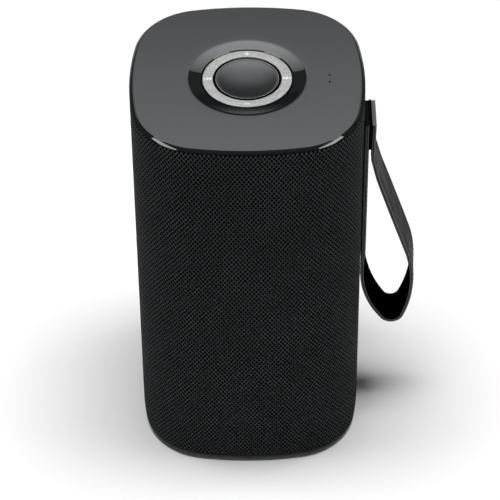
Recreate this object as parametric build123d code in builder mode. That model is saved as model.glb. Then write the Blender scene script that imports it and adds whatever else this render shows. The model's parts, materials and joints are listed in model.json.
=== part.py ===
from build123d import *
from math import atan2, degrees, sqrt
import os

# A portable wireless speaker: a fabric-wrapped column of rounded-square plan with a dished control
# panel on top, a folded leather hand strap on its right side and a flap over its rear sockets.
# Millimetres, +Z up, front towards -Y. The origin is the middle of the foot's underside.

os.makedirs("parts", exist_ok=True)

# ---- Driving dimensions ----
# Plan: four slightly bowed sides joined by tangent corner arcs.
HALF_WIDTH = 52.4  # from the axis to the fabric at the middle of a side
SIDE_RADIUS = 150.0
CORNER_RADIUS = 31.0

# Heights of the outside, from the surface it stands on.
TOP_Z = 193.5
RIM_HEIGHT = 2.2  # the cover's visible edge
BASE_Z = 0.8  # underside of the base, above the surface
TRIM_TOP_Z = 3.8  # the base's visible band ends and the fabric begins

# Walls, given as insets from the fabric's outer face.
FABRIC_THICKNESS = 0.8
FRAME_INSET = 0.85
FRAME_WALL = 2.0
COVER_INSET = 0.4
SKIRT_INSET = 3.0
SKIRT_WALL = 1.6
CHAMBER_INSET = 5.2
CHAMBER_WALL = 2.4

# Control panel.
DISH_RADIUS = 26.4
DISH_DEPTH = 2.2
WELL_RADIUS = 20.6  # hole that the ring moves in
RING_OUTER = 20.2
RING_INNER = 15.2
RING_TOP_Z = TOP_Z - 0.8
RING_THICKNESS = 1.0
BUTTON_RADIUS = 14.5
BUTTON_EDGE_Z = TOP_Z - 0.8
BUTTON_HOLLOW = 0.8  # how far the button's middle lies below its edge
BUTTON_TRAVEL = 0.8
BUTTON_SEAT_Z = 190.2  # underside of the button's disc
PIVOT_Z = 187.0  # axes that the ring tilts about
PIVOT_RADIUS = 0.8
KEY_RADIUS = 18.7  # circle that the ring's four switches stand on
CONTROL_PCB_Z = 179.0
CONTROL_PCB_RADIUS = 31.0
KEYMAT_Z = 182.2
DECK_Z = 183.1
DECK_TOP_Z = 184.6
DECK_POST_AT = 20.5  # the four posts that hold the control deck
MIC_PLACE = (36.5, 1.0)
LIGHT_PLACE = (36.5, -3.8)
PCB_THICKNESS = 1.6

# Acoustic chamber and its two round units.
CHAMBER_BOTTOM_Z = 42.0
CHAMBER_LID = 3.0
CHAMBER_TOP_Z = 174.0
UNIT_Z = 116.0  # height of the driver's and the radiator's axis
PAD_Y = 40.5  # mounting face, from the middle
PAD_THICKNESS = 4.0
FLANGE_RADIUS = 33.0
FLANGE_THICKNESS = 2.0
GASKET = 0.8
EAR_CIRCLE = 34.5
EAR_RADIUS = 3.6

# Base, battery and main board.
POST_AT = 34.8  # the chamber's four corner posts, and the base's pillars under them
POST_RADIUS = 4.0
BASE_SCREW_X, BASE_SCREW_Y = 43.8, 18.0
CELL_RADIUS = 9.2
CELL_LENGTH = 65.2
CELL_YS = (-20.0, -0.8)
CELL_Z = 14.4
MAIN_PCB_Z = 27.0
MAIN_PCB_X = 59.0
MAIN_PCB_Y0, MAIN_PCB_Y1 = -38.0, 44.0

# Rear sockets.
PORT_Z = 32.2
PORT_WIDTH = 36.0
PORT_HEIGHT = 17.2
RECESS_WIDTH = 33.0
RECESS_Z0, RECESS_Z1 = 25.0, 39.4
RECESS_FLOOR_Y = 48.9
SOCKET_FACE_Y = 48.7
USB_X, USB_Z = -8.0, 30.3
AUX_X, AUX_Z = 8.0, 32.0

# Strap: a leather strip folded double, its ends sewn to a core and screwed to the right side.
STRAP_WIDTH = 18.0
LEATHER = 1.8
STRAP_FACE_X = HALF_WIDTH + 0.3  # inner face of the strip's inner run
CORE = 1.4
TAB_Z0, TAB_Z1 = 157.9, 172.5
HINGE_GAP = 0.3
STRAP_SCREW_ZS = (161.0, 169.2)

SEAT = (Align.CENTER, Align.CENTER, Align.MIN)
HANG = (Align.CENTER, Align.CENTER, Align.MAX)

# ---- The plan outline ----
SIDE_CENTRE = HALF_WIDTH - SIDE_RADIUS
# The corner's centre lies on the diagonal, where its arc touches the side's arc from inside.
ARC_GAP = SIDE_RADIUS - CORNER_RADIUS
CORNER_CENTRE = (SIDE_CENTRE + sqrt(2 * ARC_GAP**2 - SIDE_CENTRE**2)) / 2
HALF_SIDE_ANGLE = degrees(atan2(CORNER_CENTRE, CORNER_CENTRE - SIDE_CENTRE))


def outline(inset):
    """The plan face, drawn in from the fabric's outer face by inset."""
    with BuildSketch(mode=Mode.PRIVATE) as plan:
        with BuildLine():
            for turn in (0, 90, 180, 270):
                side = Vector(SIDE_CENTRE, 0).rotate(Axis.Z, turn)
                CenterArc(side, SIDE_RADIUS - inset, turn - HALF_SIDE_ANGLE, 2 * HALF_SIDE_ANGLE)
                corner = Vector(CORNER_CENTRE, CORNER_CENTRE).rotate(Axis.Z, turn)
                CenterArc(corner, CORNER_RADIUS - inset, turn + HALF_SIDE_ANGLE, 90 - 2 * HALF_SIDE_ANGLE)
        make_face()
    return plan.sketch


def wall(inset, thickness):
    """The plan face of a wall of that thickness, inwards from inset."""
    with BuildSketch(mode=Mode.PRIVATE) as plan:
        add(outline(inset))
        add(outline(inset + thickness), mode=Mode.SUBTRACT)
    return plan.sketch


def corners(at):
    """Four places at plus and minus at, in X and Y."""
    return GridLocations(2 * at, 2 * at, 2, 2)


def unit_plane(side):
    """The half-section plane of the driver (side -1) or radiator (1): x runs outwards, y is the radius."""
    return Plane(origin=(0, 0, UNIT_Z), x_dir=(0, side, 0), z_dir=(side, 0, 0))


UNIT_AXIS = Axis((0, 0, UNIT_Z), (0, 1, 0))


def unit_face(side, distance):
    """A plane square to the unit's axis, at that distance from the middle and facing outwards."""
    return Plane(origin=(0, side * distance, UNIT_Z), x_dir=(-side, 0, 0), z_dir=(0, side, 0))


def screw(head_radius, head_height, shank_radius, length):
    """A cross-head screw. Its head stands on the XY plane and its shank points down."""
    recess = head_radius * 1.1
    with BuildPart(mode=Mode.PRIVATE) as one:
        Cylinder(head_radius, head_height, align=SEAT)
        chamfer(one.edges().group_by(Axis.Z)[-1], head_height * 0.3)
        with BuildSketch(Plane.XY.offset(head_height)):
            Rectangle(recess, recess * 0.22)
            Rectangle(recess * 0.22, recess)
        extrude(amount=-head_height * 0.5, mode=Mode.SUBTRACT)
        Cylinder(shank_radius, length, align=HANG)
    return one.part


def drop(sphere, radius):
    """How far a sphere's surface has fallen away from its pole at that radius."""
    return sphere - sqrt(sphere**2 - radius**2)


def save(piece, name):
    """Labels a finished piece and writes its STEP file."""
    piece.part.label = name
    export_step(piece.part, f"parts/{name}.step")


# ---- Outer wall ----
RIM_Z = TOP_Z - RIM_HEIGHT
LUG_Z0, LUG_Z1 = 183.6, 186.4  # the frame's upper lugs, which hold the cover's screws
LOW_LUG_Z0, LOW_LUG_Z1 = 6.0, 12.0  # and its lower ones, for the base's screws
REAR = Plane.XZ.offset(-HALF_WIDTH - 1)  # just behind the rear wall, drawn as X and Z
RIGHT = Plane.YZ.offset(HALF_WIDTH + 1)  # just outside the right wall, drawn as Y and Z
CLEAR_HOLE = 1.6
PILOT_HOLE = 1.25
SLOT_ROWS_Z = (68.0, 116.0, 164.0)
SLOT_LENGTH = 44.0
SLOT_WIDTH = 4.5
SLOT_PITCH = 9.0
SLOTS_PER_ROW = 7


def wall_openings():
    """What both layers of the outer wall leave open: the rear sockets and the strap's two screws."""
    with BuildPart(mode=Mode.PRIVATE) as openings:
        with BuildSketch(REAR):
            with Locations((0, PORT_Z)):
                RectangleRounded(PORT_WIDTH + 0.2, PORT_HEIGHT + 0.2, 3.1)
        extrude(amount=6)
        with BuildSketch(RIGHT):
            for z in STRAP_SCREW_ZS:
                with Locations((0, z)):
                    Circle(CLEAR_HOLE)
        extrude(amount=-6)
    return openings.part


with BuildPart() as fabric_sleeve:
    with BuildSketch(Plane.XY.offset(TRIM_TOP_Z)):
        add(wall(0, FABRIC_THICKNESS))
    extrude(amount=RIM_Z - TRIM_TOP_Z)
    add(wall_openings(), mode=Mode.SUBTRACT)
save(fabric_sleeve, "fabric_sleeve")

with BuildPart() as grille_frame:
    with BuildSketch(Plane.XY.offset(TRIM_TOP_Z)):
        add(wall(FRAME_INSET, FRAME_WALL))
    extrude(amount=RIM_Z - TRIM_TOP_Z)
    # Upper lugs in the corners, trimmed to the frame's plan.
    with BuildSketch(Plane.XY.offset(LUG_Z0)):
        with corners(POST_AT):
            Circle(3.6)
        with corners(POST_AT + 2.5):
            Rectangle(7, 7)
        add(outline(FRAME_INSET + FRAME_WALL / 2), mode=Mode.INTERSECT)
    extrude(amount=LUG_Z1 - LUG_Z0)
    with Locations((0, 0, LUG_Z1)):
        with corners(POST_AT):
            Hole(CLEAR_HOLE, depth=LUG_Z1 - LUG_Z0)
    # Lower lugs at the left and right sides.
    with BuildSketch(Plane.XY.offset(LOW_LUG_Z0)):
        with GridLocations(2 * BASE_SCREW_X, 2 * BASE_SCREW_Y, 2, 2):
            Circle(3.2)
        with GridLocations(2 * BASE_SCREW_X + 6, 2 * BASE_SCREW_Y, 2, 2):
            Rectangle(6, 6.4)
        add(outline(FRAME_INSET + FRAME_WALL / 2), mode=Mode.INTERSECT)
    extrude(amount=LOW_LUG_Z1 - LOW_LUG_Z0)
    with Locations((0, 0, LOW_LUG_Z1)):
        with GridLocations(2 * BASE_SCREW_X, 2 * BASE_SCREW_Y, 2, 2):
            Hole(PILOT_HOLE, depth=LOW_LUG_Z1 - LOW_LUG_Z0)
    # Sound slots on all four sides. The right side stays whole behind the strap's tab.
    for turn, rows in ((0, 3), (90, 2), (180, 3), (270, 3)):
        outside = Plane(
            origin=Vector(0, -HALF_WIDTH - 1, 0).rotate(Axis.Z, turn),
            x_dir=Vector(1, 0, 0).rotate(Axis.Z, turn),
            z_dir=Vector(0, -1, 0).rotate(Axis.Z, turn),
        )
        with BuildSketch(outside):
            for z in SLOT_ROWS_Z[:rows]:
                with Locations((0, z)):
                    with GridLocations(SLOT_PITCH, 1, SLOTS_PER_ROW, 1):
                        SlotOverall(SLOT_LENGTH, SLOT_WIDTH, rotation=90)
        extrude(amount=-9, mode=Mode.SUBTRACT)
    add(wall_openings(), mode=Mode.SUBTRACT)
save(grille_frame, "grille_frame")


# ---- Top cover and controls ----
SKIRT_Z = 186.8
WELL_WALL = 1.6
WELL_Z = 189.4
BRACKET_Z = 185.0
BRACKET_Y0, BRACKET_Y1 = 23.4, 25.8  # the two brackets that the ring's carrier hangs in
PIN_HOLE = 0.5
# A spherical hollow of that radius and depth.
DISH_SPHERE = (DISH_RADIUS**2 + DISH_DEPTH**2) / (2 * DISH_DEPTH)

with BuildPart() as top_cover:
    with BuildSketch(Plane.XY.offset(RIM_Z)):
        add(outline(COVER_INSET))
    extrude(amount=RIM_HEIGHT)
    fillet(top_cover.edges().group_by(Axis.Z)[-1], 1.0)
    # Locating skirt inside the frame, screw bosses, deck posts and the wall round the ring's well.
    with BuildSketch(Plane.XY.offset(RIM_Z)):
        add(wall(SKIRT_INSET, SKIRT_WALL))
    extrude(amount=SKIRT_Z - RIM_Z)
    with BuildSketch(Plane.XY.offset(RIM_Z)):
        with corners(POST_AT):
            Circle(3.2)
    extrude(amount=LUG_Z1 - RIM_Z)
    with BuildSketch(Plane.XY.offset(RIM_Z)):
        with corners(DECK_POST_AT):
            Circle(3.0)
    extrude(amount=DECK_TOP_Z - RIM_Z)
    with BuildSketch(Plane.XY.offset(RIM_Z)):
        Circle(WELL_RADIUS + WELL_WALL)
    extrude(amount=WELL_Z - RIM_Z)
    with BuildSketch(Plane.XY.offset(RIM_Z)):
        with GridLocations(1, BRACKET_Y0 + BRACKET_Y1, 1, 2):
            Rectangle(5, BRACKET_Y1 - BRACKET_Y0)
    extrude(amount=BRACKET_Z - RIM_Z)
    with Locations((0, 0, TOP_Z - DISH_DEPTH + DISH_SPHERE)):
        Sphere(DISH_SPHERE, mode=Mode.SUBTRACT)
    with Locations((0, 0, TOP_Z)):
        Hole(WELL_RADIUS)
        with Locations(MIC_PLACE, LIGHT_PLACE):
            Hole(PIN_HOLE)
    with BuildSketch(Plane.XY.offset(LUG_Z1)):
        with corners(POST_AT):
            Circle(PILOT_HOLE)
    extrude(amount=5.5, mode=Mode.SUBTRACT)
    with BuildSketch(Plane.XY.offset(DECK_TOP_Z)):
        with corners(DECK_POST_AT):
            Circle(PILOT_HOLE)
    extrude(amount=6.0, mode=Mode.SUBTRACT)
    with BuildSketch(Plane.XZ.offset(BRACKET_Y1 + 1)):
        with Locations((0, PIVOT_Z)):
            Circle(PIVOT_RADIUS + 0.05)
    extrude(amount=-2 * (BRACKET_Y1 + 1), mode=Mode.SUBTRACT)
save(top_cover, "top_cover")

RING_WALL_OUTER, RING_WALL_INNER = 19.4, 18.0
RING_WALL_Z = 185.8
CARRIER_INNER, CARRIER_OUTER = 20.2, 22.6

with BuildPart() as nav_ring:
    with BuildSketch(Plane.XY.offset(RING_TOP_Z)):
        Circle(RING_OUTER)
        Circle(RING_INNER, mode=Mode.SUBTRACT)
    extrude(amount=-RING_THICKNESS)
    fillet(nav_ring.edges().group_by(Axis.Z)[-1], 0.25)
    with BuildSketch(Plane.XY.offset(RING_TOP_Z - RING_THICKNESS)):
        Circle(RING_WALL_OUTER)
        Circle(RING_WALL_INNER, mode=Mode.SUBTRACT)
    extrude(amount=RING_WALL_Z - RING_TOP_Z + RING_THICKNESS)
    # Two pivot pins along X, which carry the ring in its carrier.
    for side in (-1, 1):
        with BuildSketch(Plane.YZ.offset(side * (RING_WALL_OUTER - 0.5))):
            with Locations((0, PIVOT_Z)):
                Circle(PIVOT_RADIUS)
        extrude(amount=side * (CARRIER_OUTER - 0.2 - RING_WALL_OUTER + 0.5))
save(nav_ring, "nav_ring")

with BuildPart() as ring_carrier:
    with BuildSketch(Plane.XY.offset(PIVOT_Z - 1.2)):
        Circle(CARRIER_OUTER)
        Circle(CARRIER_INNER, mode=Mode.SUBTRACT)
    extrude(amount=2.4)
    with BuildSketch(Plane.YZ.offset(-CARRIER_OUTER - 1)):
        with Locations((0, PIVOT_Z)):
            Circle(PIVOT_RADIUS + 0.05)
    extrude(amount=2 * (CARRIER_OUTER + 1), mode=Mode.SUBTRACT)
    # Two pivot pins along Y, which hang the carrier in the cover's brackets.
    for side in (-1, 1):
        with BuildSketch(Plane.XZ.offset(side * (CARRIER_OUTER - 0.5))):
            with Locations((0, PIVOT_Z)):
                Circle(PIVOT_RADIUS)
        extrude(amount=side * (BRACKET_Y1 - 0.2 - CARRIER_OUTER + 0.5))
save(ring_carrier, "ring_carrier")

STEM_RADIUS = 5.0
FLANGE_TOP_Z = 191.0
BUTTON_FLANGE = BUTTON_RADIUS + 1.4
EDGE_BEVEL = 0.3
BEVEL_RADIUS = BUTTON_RADIUS - EDGE_BEVEL
HOLLOW_SPHERE = (BEVEL_RADIUS**2 + BUTTON_HOLLOW**2) / (2 * BUTTON_HOLLOW)
BUTTON_MIDDLE_Z = BUTTON_EDGE_Z - BUTTON_HOLLOW

# The button turned about its axis: stem, disc, retaining flange, bevelled edge and hollowed top.
with BuildPart() as centre_button:
    with BuildSketch(Plane.XZ):
        with BuildLine():
            Polyline(
                (0, BUTTON_MIDDLE_Z),
                (0, DECK_TOP_Z),
                (STEM_RADIUS, DECK_TOP_Z),
                (STEM_RADIUS, BUTTON_SEAT_Z),
                (BUTTON_FLANGE, BUTTON_SEAT_Z),
                (BUTTON_FLANGE, FLANGE_TOP_Z),
                (BUTTON_RADIUS, FLANGE_TOP_Z),
                (BUTTON_RADIUS, BUTTON_EDGE_Z - EDGE_BEVEL),
                (BEVEL_RADIUS, BUTTON_EDGE_Z),
            )
            ThreePointArc(
                (BEVEL_RADIUS, BUTTON_EDGE_Z),
                (BEVEL_RADIUS / 2, BUTTON_MIDDLE_Z + drop(HOLLOW_SPHERE, BEVEL_RADIUS / 2)),
                (0, BUTTON_MIDDLE_Z),
            )
        make_face()
    revolve(axis=Axis.Z)
save(centre_button, "centre_button")

with BuildPart() as control_deck:
    with BuildSketch(Plane.XY.offset(DECK_Z)):
        Circle(CONTROL_PCB_RADIUS + 1.5)
        with PolarLocations(KEY_RADIUS, 4):
            Circle(2.7, mode=Mode.SUBTRACT)
    extrude(amount=DECK_TOP_Z - DECK_Z)
    # Guide tube for the button's stem.
    with BuildSketch(Plane.XY.offset(DECK_Z)):
        Circle(7.0)
    extrude(amount=BUTTON_SEAT_Z - BUTTON_TRAVEL - 0.3 - DECK_Z)
    with BuildSketch(Plane.XY.offset(DECK_Z)):
        with corners(DECK_POST_AT):
            Circle(3.0)
    extrude(amount=CONTROL_PCB_Z + PCB_THICKNESS - DECK_Z)
    with Locations((0, 0, BUTTON_SEAT_Z)):
        Hole(STEM_RADIUS + 0.05)
        with corners(DECK_POST_AT):
            Hole(CLEAR_HOLE)
save(control_deck, "control_deck")

with BuildPart() as key_mat:
    with BuildSketch(Plane.XY.offset(KEYMAT_Z)):
        Circle(24.0)
    extrude(amount=0.8)
    with BuildSketch(Plane.XY.offset(KEYMAT_Z)):
        with PolarLocations(KEY_RADIUS, 4):
            Circle(2.2)
    extrude(amount=3.0)
    with BuildSketch(Plane.XY.offset(KEYMAT_Z)):
        Circle(4.0)
    extrude(amount=DECK_TOP_Z - 0.9 - KEYMAT_Z)
save(key_mat, "key_mat")

with BuildPart() as control_board:
    with BuildSketch(Plane.XY.offset(CONTROL_PCB_Z)):
        Circle(CONTROL_PCB_RADIUS)
        # An ear carries the microphone and the status light.
        with Locations((MIC_PLACE[0] - 3, 0)):
            Rectangle(15, 12)
        with corners(DECK_POST_AT):
            Circle(CLEAR_HOLE, mode=Mode.SUBTRACT)
    extrude(amount=PCB_THICKNESS)
save(control_board, "control_board")

CONTROL_TOP_Z = CONTROL_PCB_Z + PCB_THICKNESS

with BuildPart() as tact_switches:
    with BuildSketch(Plane.XY.offset(CONTROL_TOP_Z)):
        Rectangle(4.5, 4.5)
        with PolarLocations(KEY_RADIUS, 4):
            Rectangle(4.5, 4.5)
    extrude(amount=1.0)
    with BuildSketch(Plane.XY.offset(CONTROL_TOP_Z)):
        Circle(1.0)
        with PolarLocations(KEY_RADIUS, 4):
            Circle(1.0)
    extrude(amount=1.5)
save(tact_switches, "tact_switches")

with BuildPart() as microphone:
    with Locations((*MIC_PLACE, CONTROL_TOP_Z)):
        Box(3.8, 3.0, 1.1, align=SEAT)
save(microphone, "microphone")

with BuildPart() as mic_boot:
    with BuildSketch(Plane.XY.offset(CONTROL_TOP_Z + 1.1)):
        with Locations(MIC_PLACE):
            Circle(2.0)
            Circle(0.7, mode=Mode.SUBTRACT)
    extrude(amount=RIM_Z - CONTROL_TOP_Z - 1.1)
save(mic_boot, "mic_boot")

with BuildPart() as status_light:
    with Locations((*LIGHT_PLACE, CONTROL_TOP_Z)):
        Box(1.6, 0.8, 0.7, align=SEAT)
save(status_light, "status_light")

with BuildPart() as light_pipe:
    with Locations((*LIGHT_PLACE, CONTROL_TOP_Z + 0.8)):
        Cylinder(1.2, RIM_Z - CONTROL_TOP_Z - 0.8, align=SEAT)
        Cylinder(PIN_HOLE - 0.08, TOP_Z - 0.2 - CONTROL_TOP_Z - 0.8, align=SEAT)
save(light_pipe, "light_pipe")

with BuildPart() as cover_screws:
    with Locations(Location((0, 0, LUG_Z0), (180, 0, 0))):
        with corners(POST_AT):
            add(screw(2.4, 1.6, 1.2, 7.5))
save(cover_screws, "cover_screws")

with BuildPart() as deck_screws:
    with Locations(Location((0, 0, CONTROL_PCB_Z), (180, 0, 0))):
        with corners(DECK_POST_AT):
            add(screw(2.4, 1.6, 1.2, 10.0))
save(deck_screws, "deck_screws")


# ---- Acoustic chamber ----
LID_TOP_Z = CHAMBER_BOTTOM_Z + CHAMBER_LID
GROMMET_X, GROMMET_Y = 10.0, -12.0


def chamber_solid(inset, low, high, flat_y, flat_reach):
    """The chamber's plan raised from low to high, stepped flat front and rear for the round units."""
    with BuildPart(mode=Mode.PRIVATE) as block:
        with BuildSketch(Plane.XY.offset(low)):
            add(outline(inset))
        extrude(amount=high - low)
        for side in (-1, 1):
            with Locations((0, side * (flat_y + 10), UNIT_Z)):
                Box(2 * HALF_WIDTH, 20, 2 * flat_reach, mode=Mode.SUBTRACT)
    return block.part


with BuildPart() as chamber_shell:
    add(chamber_solid(CHAMBER_INSET, LID_TOP_Z, CHAMBER_TOP_Z, PAD_Y, 36.5))
    cavity_top = CHAMBER_TOP_Z - CHAMBER_WALL
    cavity_inset = CHAMBER_INSET + CHAMBER_WALL
    add(
        chamber_solid(cavity_inset, LID_TOP_Z, cavity_top, PAD_Y - PAD_THICKNESS, 36.5 + CHAMBER_WALL),
        mode=Mode.SUBTRACT,
    )
    # Corner posts bear on the frame's upper lugs, round the screw heads.
    with BuildSketch(Plane.XY.offset(CHAMBER_TOP_Z)):
        with corners(POST_AT):
            Circle(POST_RADIUS)
            Circle(2.8, mode=Mode.SUBTRACT)
    extrude(amount=LUG_Z0 - CHAMBER_TOP_Z)
    for side in (-1, 1):
        with BuildSketch(unit_face(side, PAD_Y)):
            Circle(27.6)
            with PolarLocations(EAR_CIRCLE, 4, start_angle=45):
                Circle(PILOT_HOLE)
        extrude(amount=-PAD_THICKNESS, mode=Mode.SUBTRACT)
save(chamber_shell, "chamber_shell")

with BuildPart() as chamber_lid:
    with BuildSketch(Plane.XY.offset(CHAMBER_BOTTOM_Z)):
        add(outline(CHAMBER_INSET))
        with Locations((GROMMET_X, GROMMET_Y)):
            Circle(4.0, mode=Mode.SUBTRACT)
    extrude(amount=CHAMBER_LID)
save(chamber_lid, "chamber_lid")


# ---- Driver (front) and passive radiator (rear) ----
FLANGE_X0 = PAD_Y + GASKET
FLANGE_X1 = FLANGE_X0 + FLANGE_THICKNESS
MOTOR_RADIUS = 17.5
COIL_INNER, COIL_OUTER = 5.8, 6.4
CONE_RADIUS = 21.4
CAP_TOP, CAP_RADIUS, CAP_SPHERE, CAP_THICKNESS = 36.4, 9.6, 16.4, 0.5
SURROUND_LIP = 0.3  # clearance between the surround and the moving disc


def revolved(side, points):
    """Turns an outline of (distance from the middle, radius) points about the unit's axis."""
    with BuildPart(mode=Mode.PRIVATE) as turned:
        with BuildSketch(unit_plane(side)):
            with BuildLine():
                Polyline(*points, close=True)
            make_face()
        revolve(axis=UNIT_AXIS)
    return turned.part


def tube(side, start, end, inner, outer):
    """A plain ring about the unit's axis."""
    return revolved(side, [(start, inner), (end, inner), (end, outer), (start, outer)])


def flange_ears(side, start, thickness):
    """The four screw ears round a flange."""
    with BuildPart(mode=Mode.PRIVATE) as ears:
        with BuildSketch(unit_face(side, start)):
            with PolarLocations(EAR_CIRCLE - 1.5, 4, start_angle=45):
                Rectangle(4, 2 * EAR_RADIUS)
            with PolarLocations(EAR_CIRCLE, 4, start_angle=45):
                Circle(EAR_RADIUS)
        extrude(amount=thickness)
    return ears.part


def ear_holes(side, start, thickness):
    """What the screws need cut through a flange's ears."""
    with BuildPart(mode=Mode.PRIVATE) as holes:
        with BuildSketch(unit_face(side, start)):
            with PolarLocations(EAR_CIRCLE, 4, start_angle=45):
                Circle(CLEAR_HOLE)
        extrude(amount=thickness)
    return holes.part


def gasket(side):
    """The foam ring between a unit's flange and the chamber."""
    with BuildPart(mode=Mode.PRIVATE) as ring:
        add(tube(side, PAD_Y, FLANGE_X0, 28.0, FLANGE_RADIUS))
        add(flange_ears(side, PAD_Y, GASKET))
        add(ear_holes(side, PAD_Y, GASKET), mode=Mode.SUBTRACT)
    return ring.part


def surround(side):
    """The rubber half-roll between a flange and its moving disc."""
    inner = CONE_RADIUS + SURROUND_LIP
    with BuildPart(mode=Mode.PRIVATE) as roll:
        with BuildSketch(unit_plane(side)):
            with BuildLine():
                Polyline((FLANGE_X1, 29.5), (FLANGE_X1 + 0.6, 29.5), (FLANGE_X1 + 0.6, 27.4))
                ThreePointArc((FLANGE_X1 + 0.6, 27.4), (FLANGE_X1 + 3.0, 25.0), (FLANGE_X1 + 0.6, inner))
                Line((FLANGE_X1 + 0.6, inner), (FLANGE_X1, inner))
                Line((FLANGE_X1, inner), (FLANGE_X1, inner + 0.6))
                ThreePointArc((FLANGE_X1, inner + 0.6), (FLANGE_X1 + 2.4, 25.0), (FLANGE_X1, 26.8))
                Line((FLANGE_X1, 26.8), (FLANGE_X1, 29.5))
            make_face()
        revolve(axis=UNIT_AXIS)
    return roll.part


def unit_screws(side):
    """The four screws through a unit's ears."""
    with BuildPart(mode=Mode.PRIVATE) as group:
        with Locations(unit_face(side, FLANGE_X1)):
            with PolarLocations(EAR_CIRCLE, 4, start_angle=45):
                add(screw(2.4, 1.6, 1.2, 6.4))
    return group.part


with BuildPart() as driver_basket:
    add(
        revolved(
            -1,
            [
                (FLANGE_X0, FLANGE_RADIUS),
                (FLANGE_X1, FLANGE_RADIUS),
                (FLANGE_X1, 26.8),
                (40.5, 25.6),
                (27.0, 18.4),
                (27.0, 8.0),
                (25.0, 8.0),
                (25.0, 20.0),
                (39.6, 27.0),
                (FLANGE_X0, 27.0),
            ],
        )
    )
    add(flange_ears(-1, FLANGE_X0, FLANGE_THICKNESS))
    add(ear_holes(-1, FLANGE_X0, FLANGE_THICKNESS), mode=Mode.SUBTRACT)
    # Vents between the basket's six arms.
    for arm in range(6):
        with Locations(Location((0, 0, UNIT_Z), (0, 60 * arm, 0))):
            with Locations((0, -32.5, 22)):
                Box(12, 7, 20, mode=Mode.SUBTRACT)
save(driver_basket, "driver_basket")

with BuildPart() as motor_plate:
    add(tube(-1, 22.4, 25.0, 6.7, MOTOR_RADIUS))
save(motor_plate, "motor_plate")

with BuildPart() as motor_magnet:
    add(tube(-1, 13.4, 22.4, 9.0, MOTOR_RADIUS))
save(motor_magnet, "motor_magnet")

with BuildPart() as motor_yoke:
    add(tube(-1, 10.4, 13.4, 0, MOTOR_RADIUS))
    add(tube(-1, 13.4, 25.0, 0, COIL_INNER - 0.3))
save(motor_yoke, "motor_yoke")

with BuildPart() as voice_coil:
    add(tube(-1, 17.0, 28.6, COIL_INNER, COIL_OUTER))
save(voice_coil, "voice_coil")

with BuildPart() as driver_cone:
    add(
        revolved(
            -1,
            [
                (28.6, COIL_INNER),
                (29.4, COIL_INNER),
                (42.2, CONE_RADIUS - 0.6),
                (42.2, CONE_RADIUS),
                (41.4, CONE_RADIUS),
            ],
        )
    )
save(driver_cone, "driver_cone")

with BuildPart() as dust_cap:
    inner_sphere = CAP_SPHERE - CAP_THICKNESS
    inner_top = CAP_TOP - CAP_THICKNESS
    half = CAP_RADIUS / 2
    outer_edge = CAP_TOP - drop(CAP_SPHERE, CAP_RADIUS)
    inner_edge = inner_top - drop(inner_sphere, CAP_RADIUS)
    with BuildSketch(unit_plane(-1)):
        with BuildLine():
            outer_middle = (CAP_TOP - drop(CAP_SPHERE, half), half)
            inner_middle = (inner_top - drop(inner_sphere, half), half)
            ThreePointArc((CAP_TOP, 0), outer_middle, (outer_edge, CAP_RADIUS))
            Line((outer_edge, CAP_RADIUS), (inner_edge, CAP_RADIUS))
            ThreePointArc((inner_edge, CAP_RADIUS), inner_middle, (inner_top, 0))
            Line((inner_top, 0), (CAP_TOP, 0))
        make_face()
    revolve(axis=UNIT_AXIS)
save(dust_cap, "dust_cap")

with BuildPart() as driver_surround:
    add(surround(-1))
save(driver_surround, "driver_surround")

with BuildPart() as driver_gasket:
    add(gasket(-1))
save(driver_gasket, "driver_gasket")

with BuildPart() as driver_screws:
    add(unit_screws(-1))
save(driver_screws, "driver_screws")

with BuildPart() as radiator_frame:
    add(tube(1, FLANGE_X0, FLANGE_X1, 26.8, FLANGE_RADIUS))
    add(flange_ears(1, FLANGE_X0, FLANGE_THICKNESS))
    add(ear_holes(1, FLANGE_X0, FLANGE_THICKNESS), mode=Mode.SUBTRACT)
save(radiator_frame, "radiator_frame")

with BuildPart() as radiator_disc:
    add(tube(1, FLANGE_X1 - 1.4, FLANGE_X1, 12.0, CONE_RADIUS))
    add(tube(1, FLANGE_X1 - 5.0, FLANGE_X1 - 0.4, 0, 12.0))
save(radiator_disc, "radiator_disc")

with BuildPart() as radiator_surround:
    add(surround(1))
save(radiator_surround, "radiator_surround")

with BuildPart() as radiator_gasket:
    add(gasket(1))
save(radiator_gasket, "radiator_gasket")

with BuildPart() as radiator_screws:
    add(unit_screws(1))
save(radiator_screws, "radiator_screws")


# ---- Base, battery and main board ----
HOLDER_Y0, HOLDER_Y1 = CELL_YS[0] - CELL_RADIUS - 1.4, CELL_YS[1] + CELL_RADIUS + 1.4
STANDOFF_X = 26.0
STANDOFF_YS = (-34.5, 40.0)
MAIN_TOP_Z = MAIN_PCB_Z + PCB_THICKNESS

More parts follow.
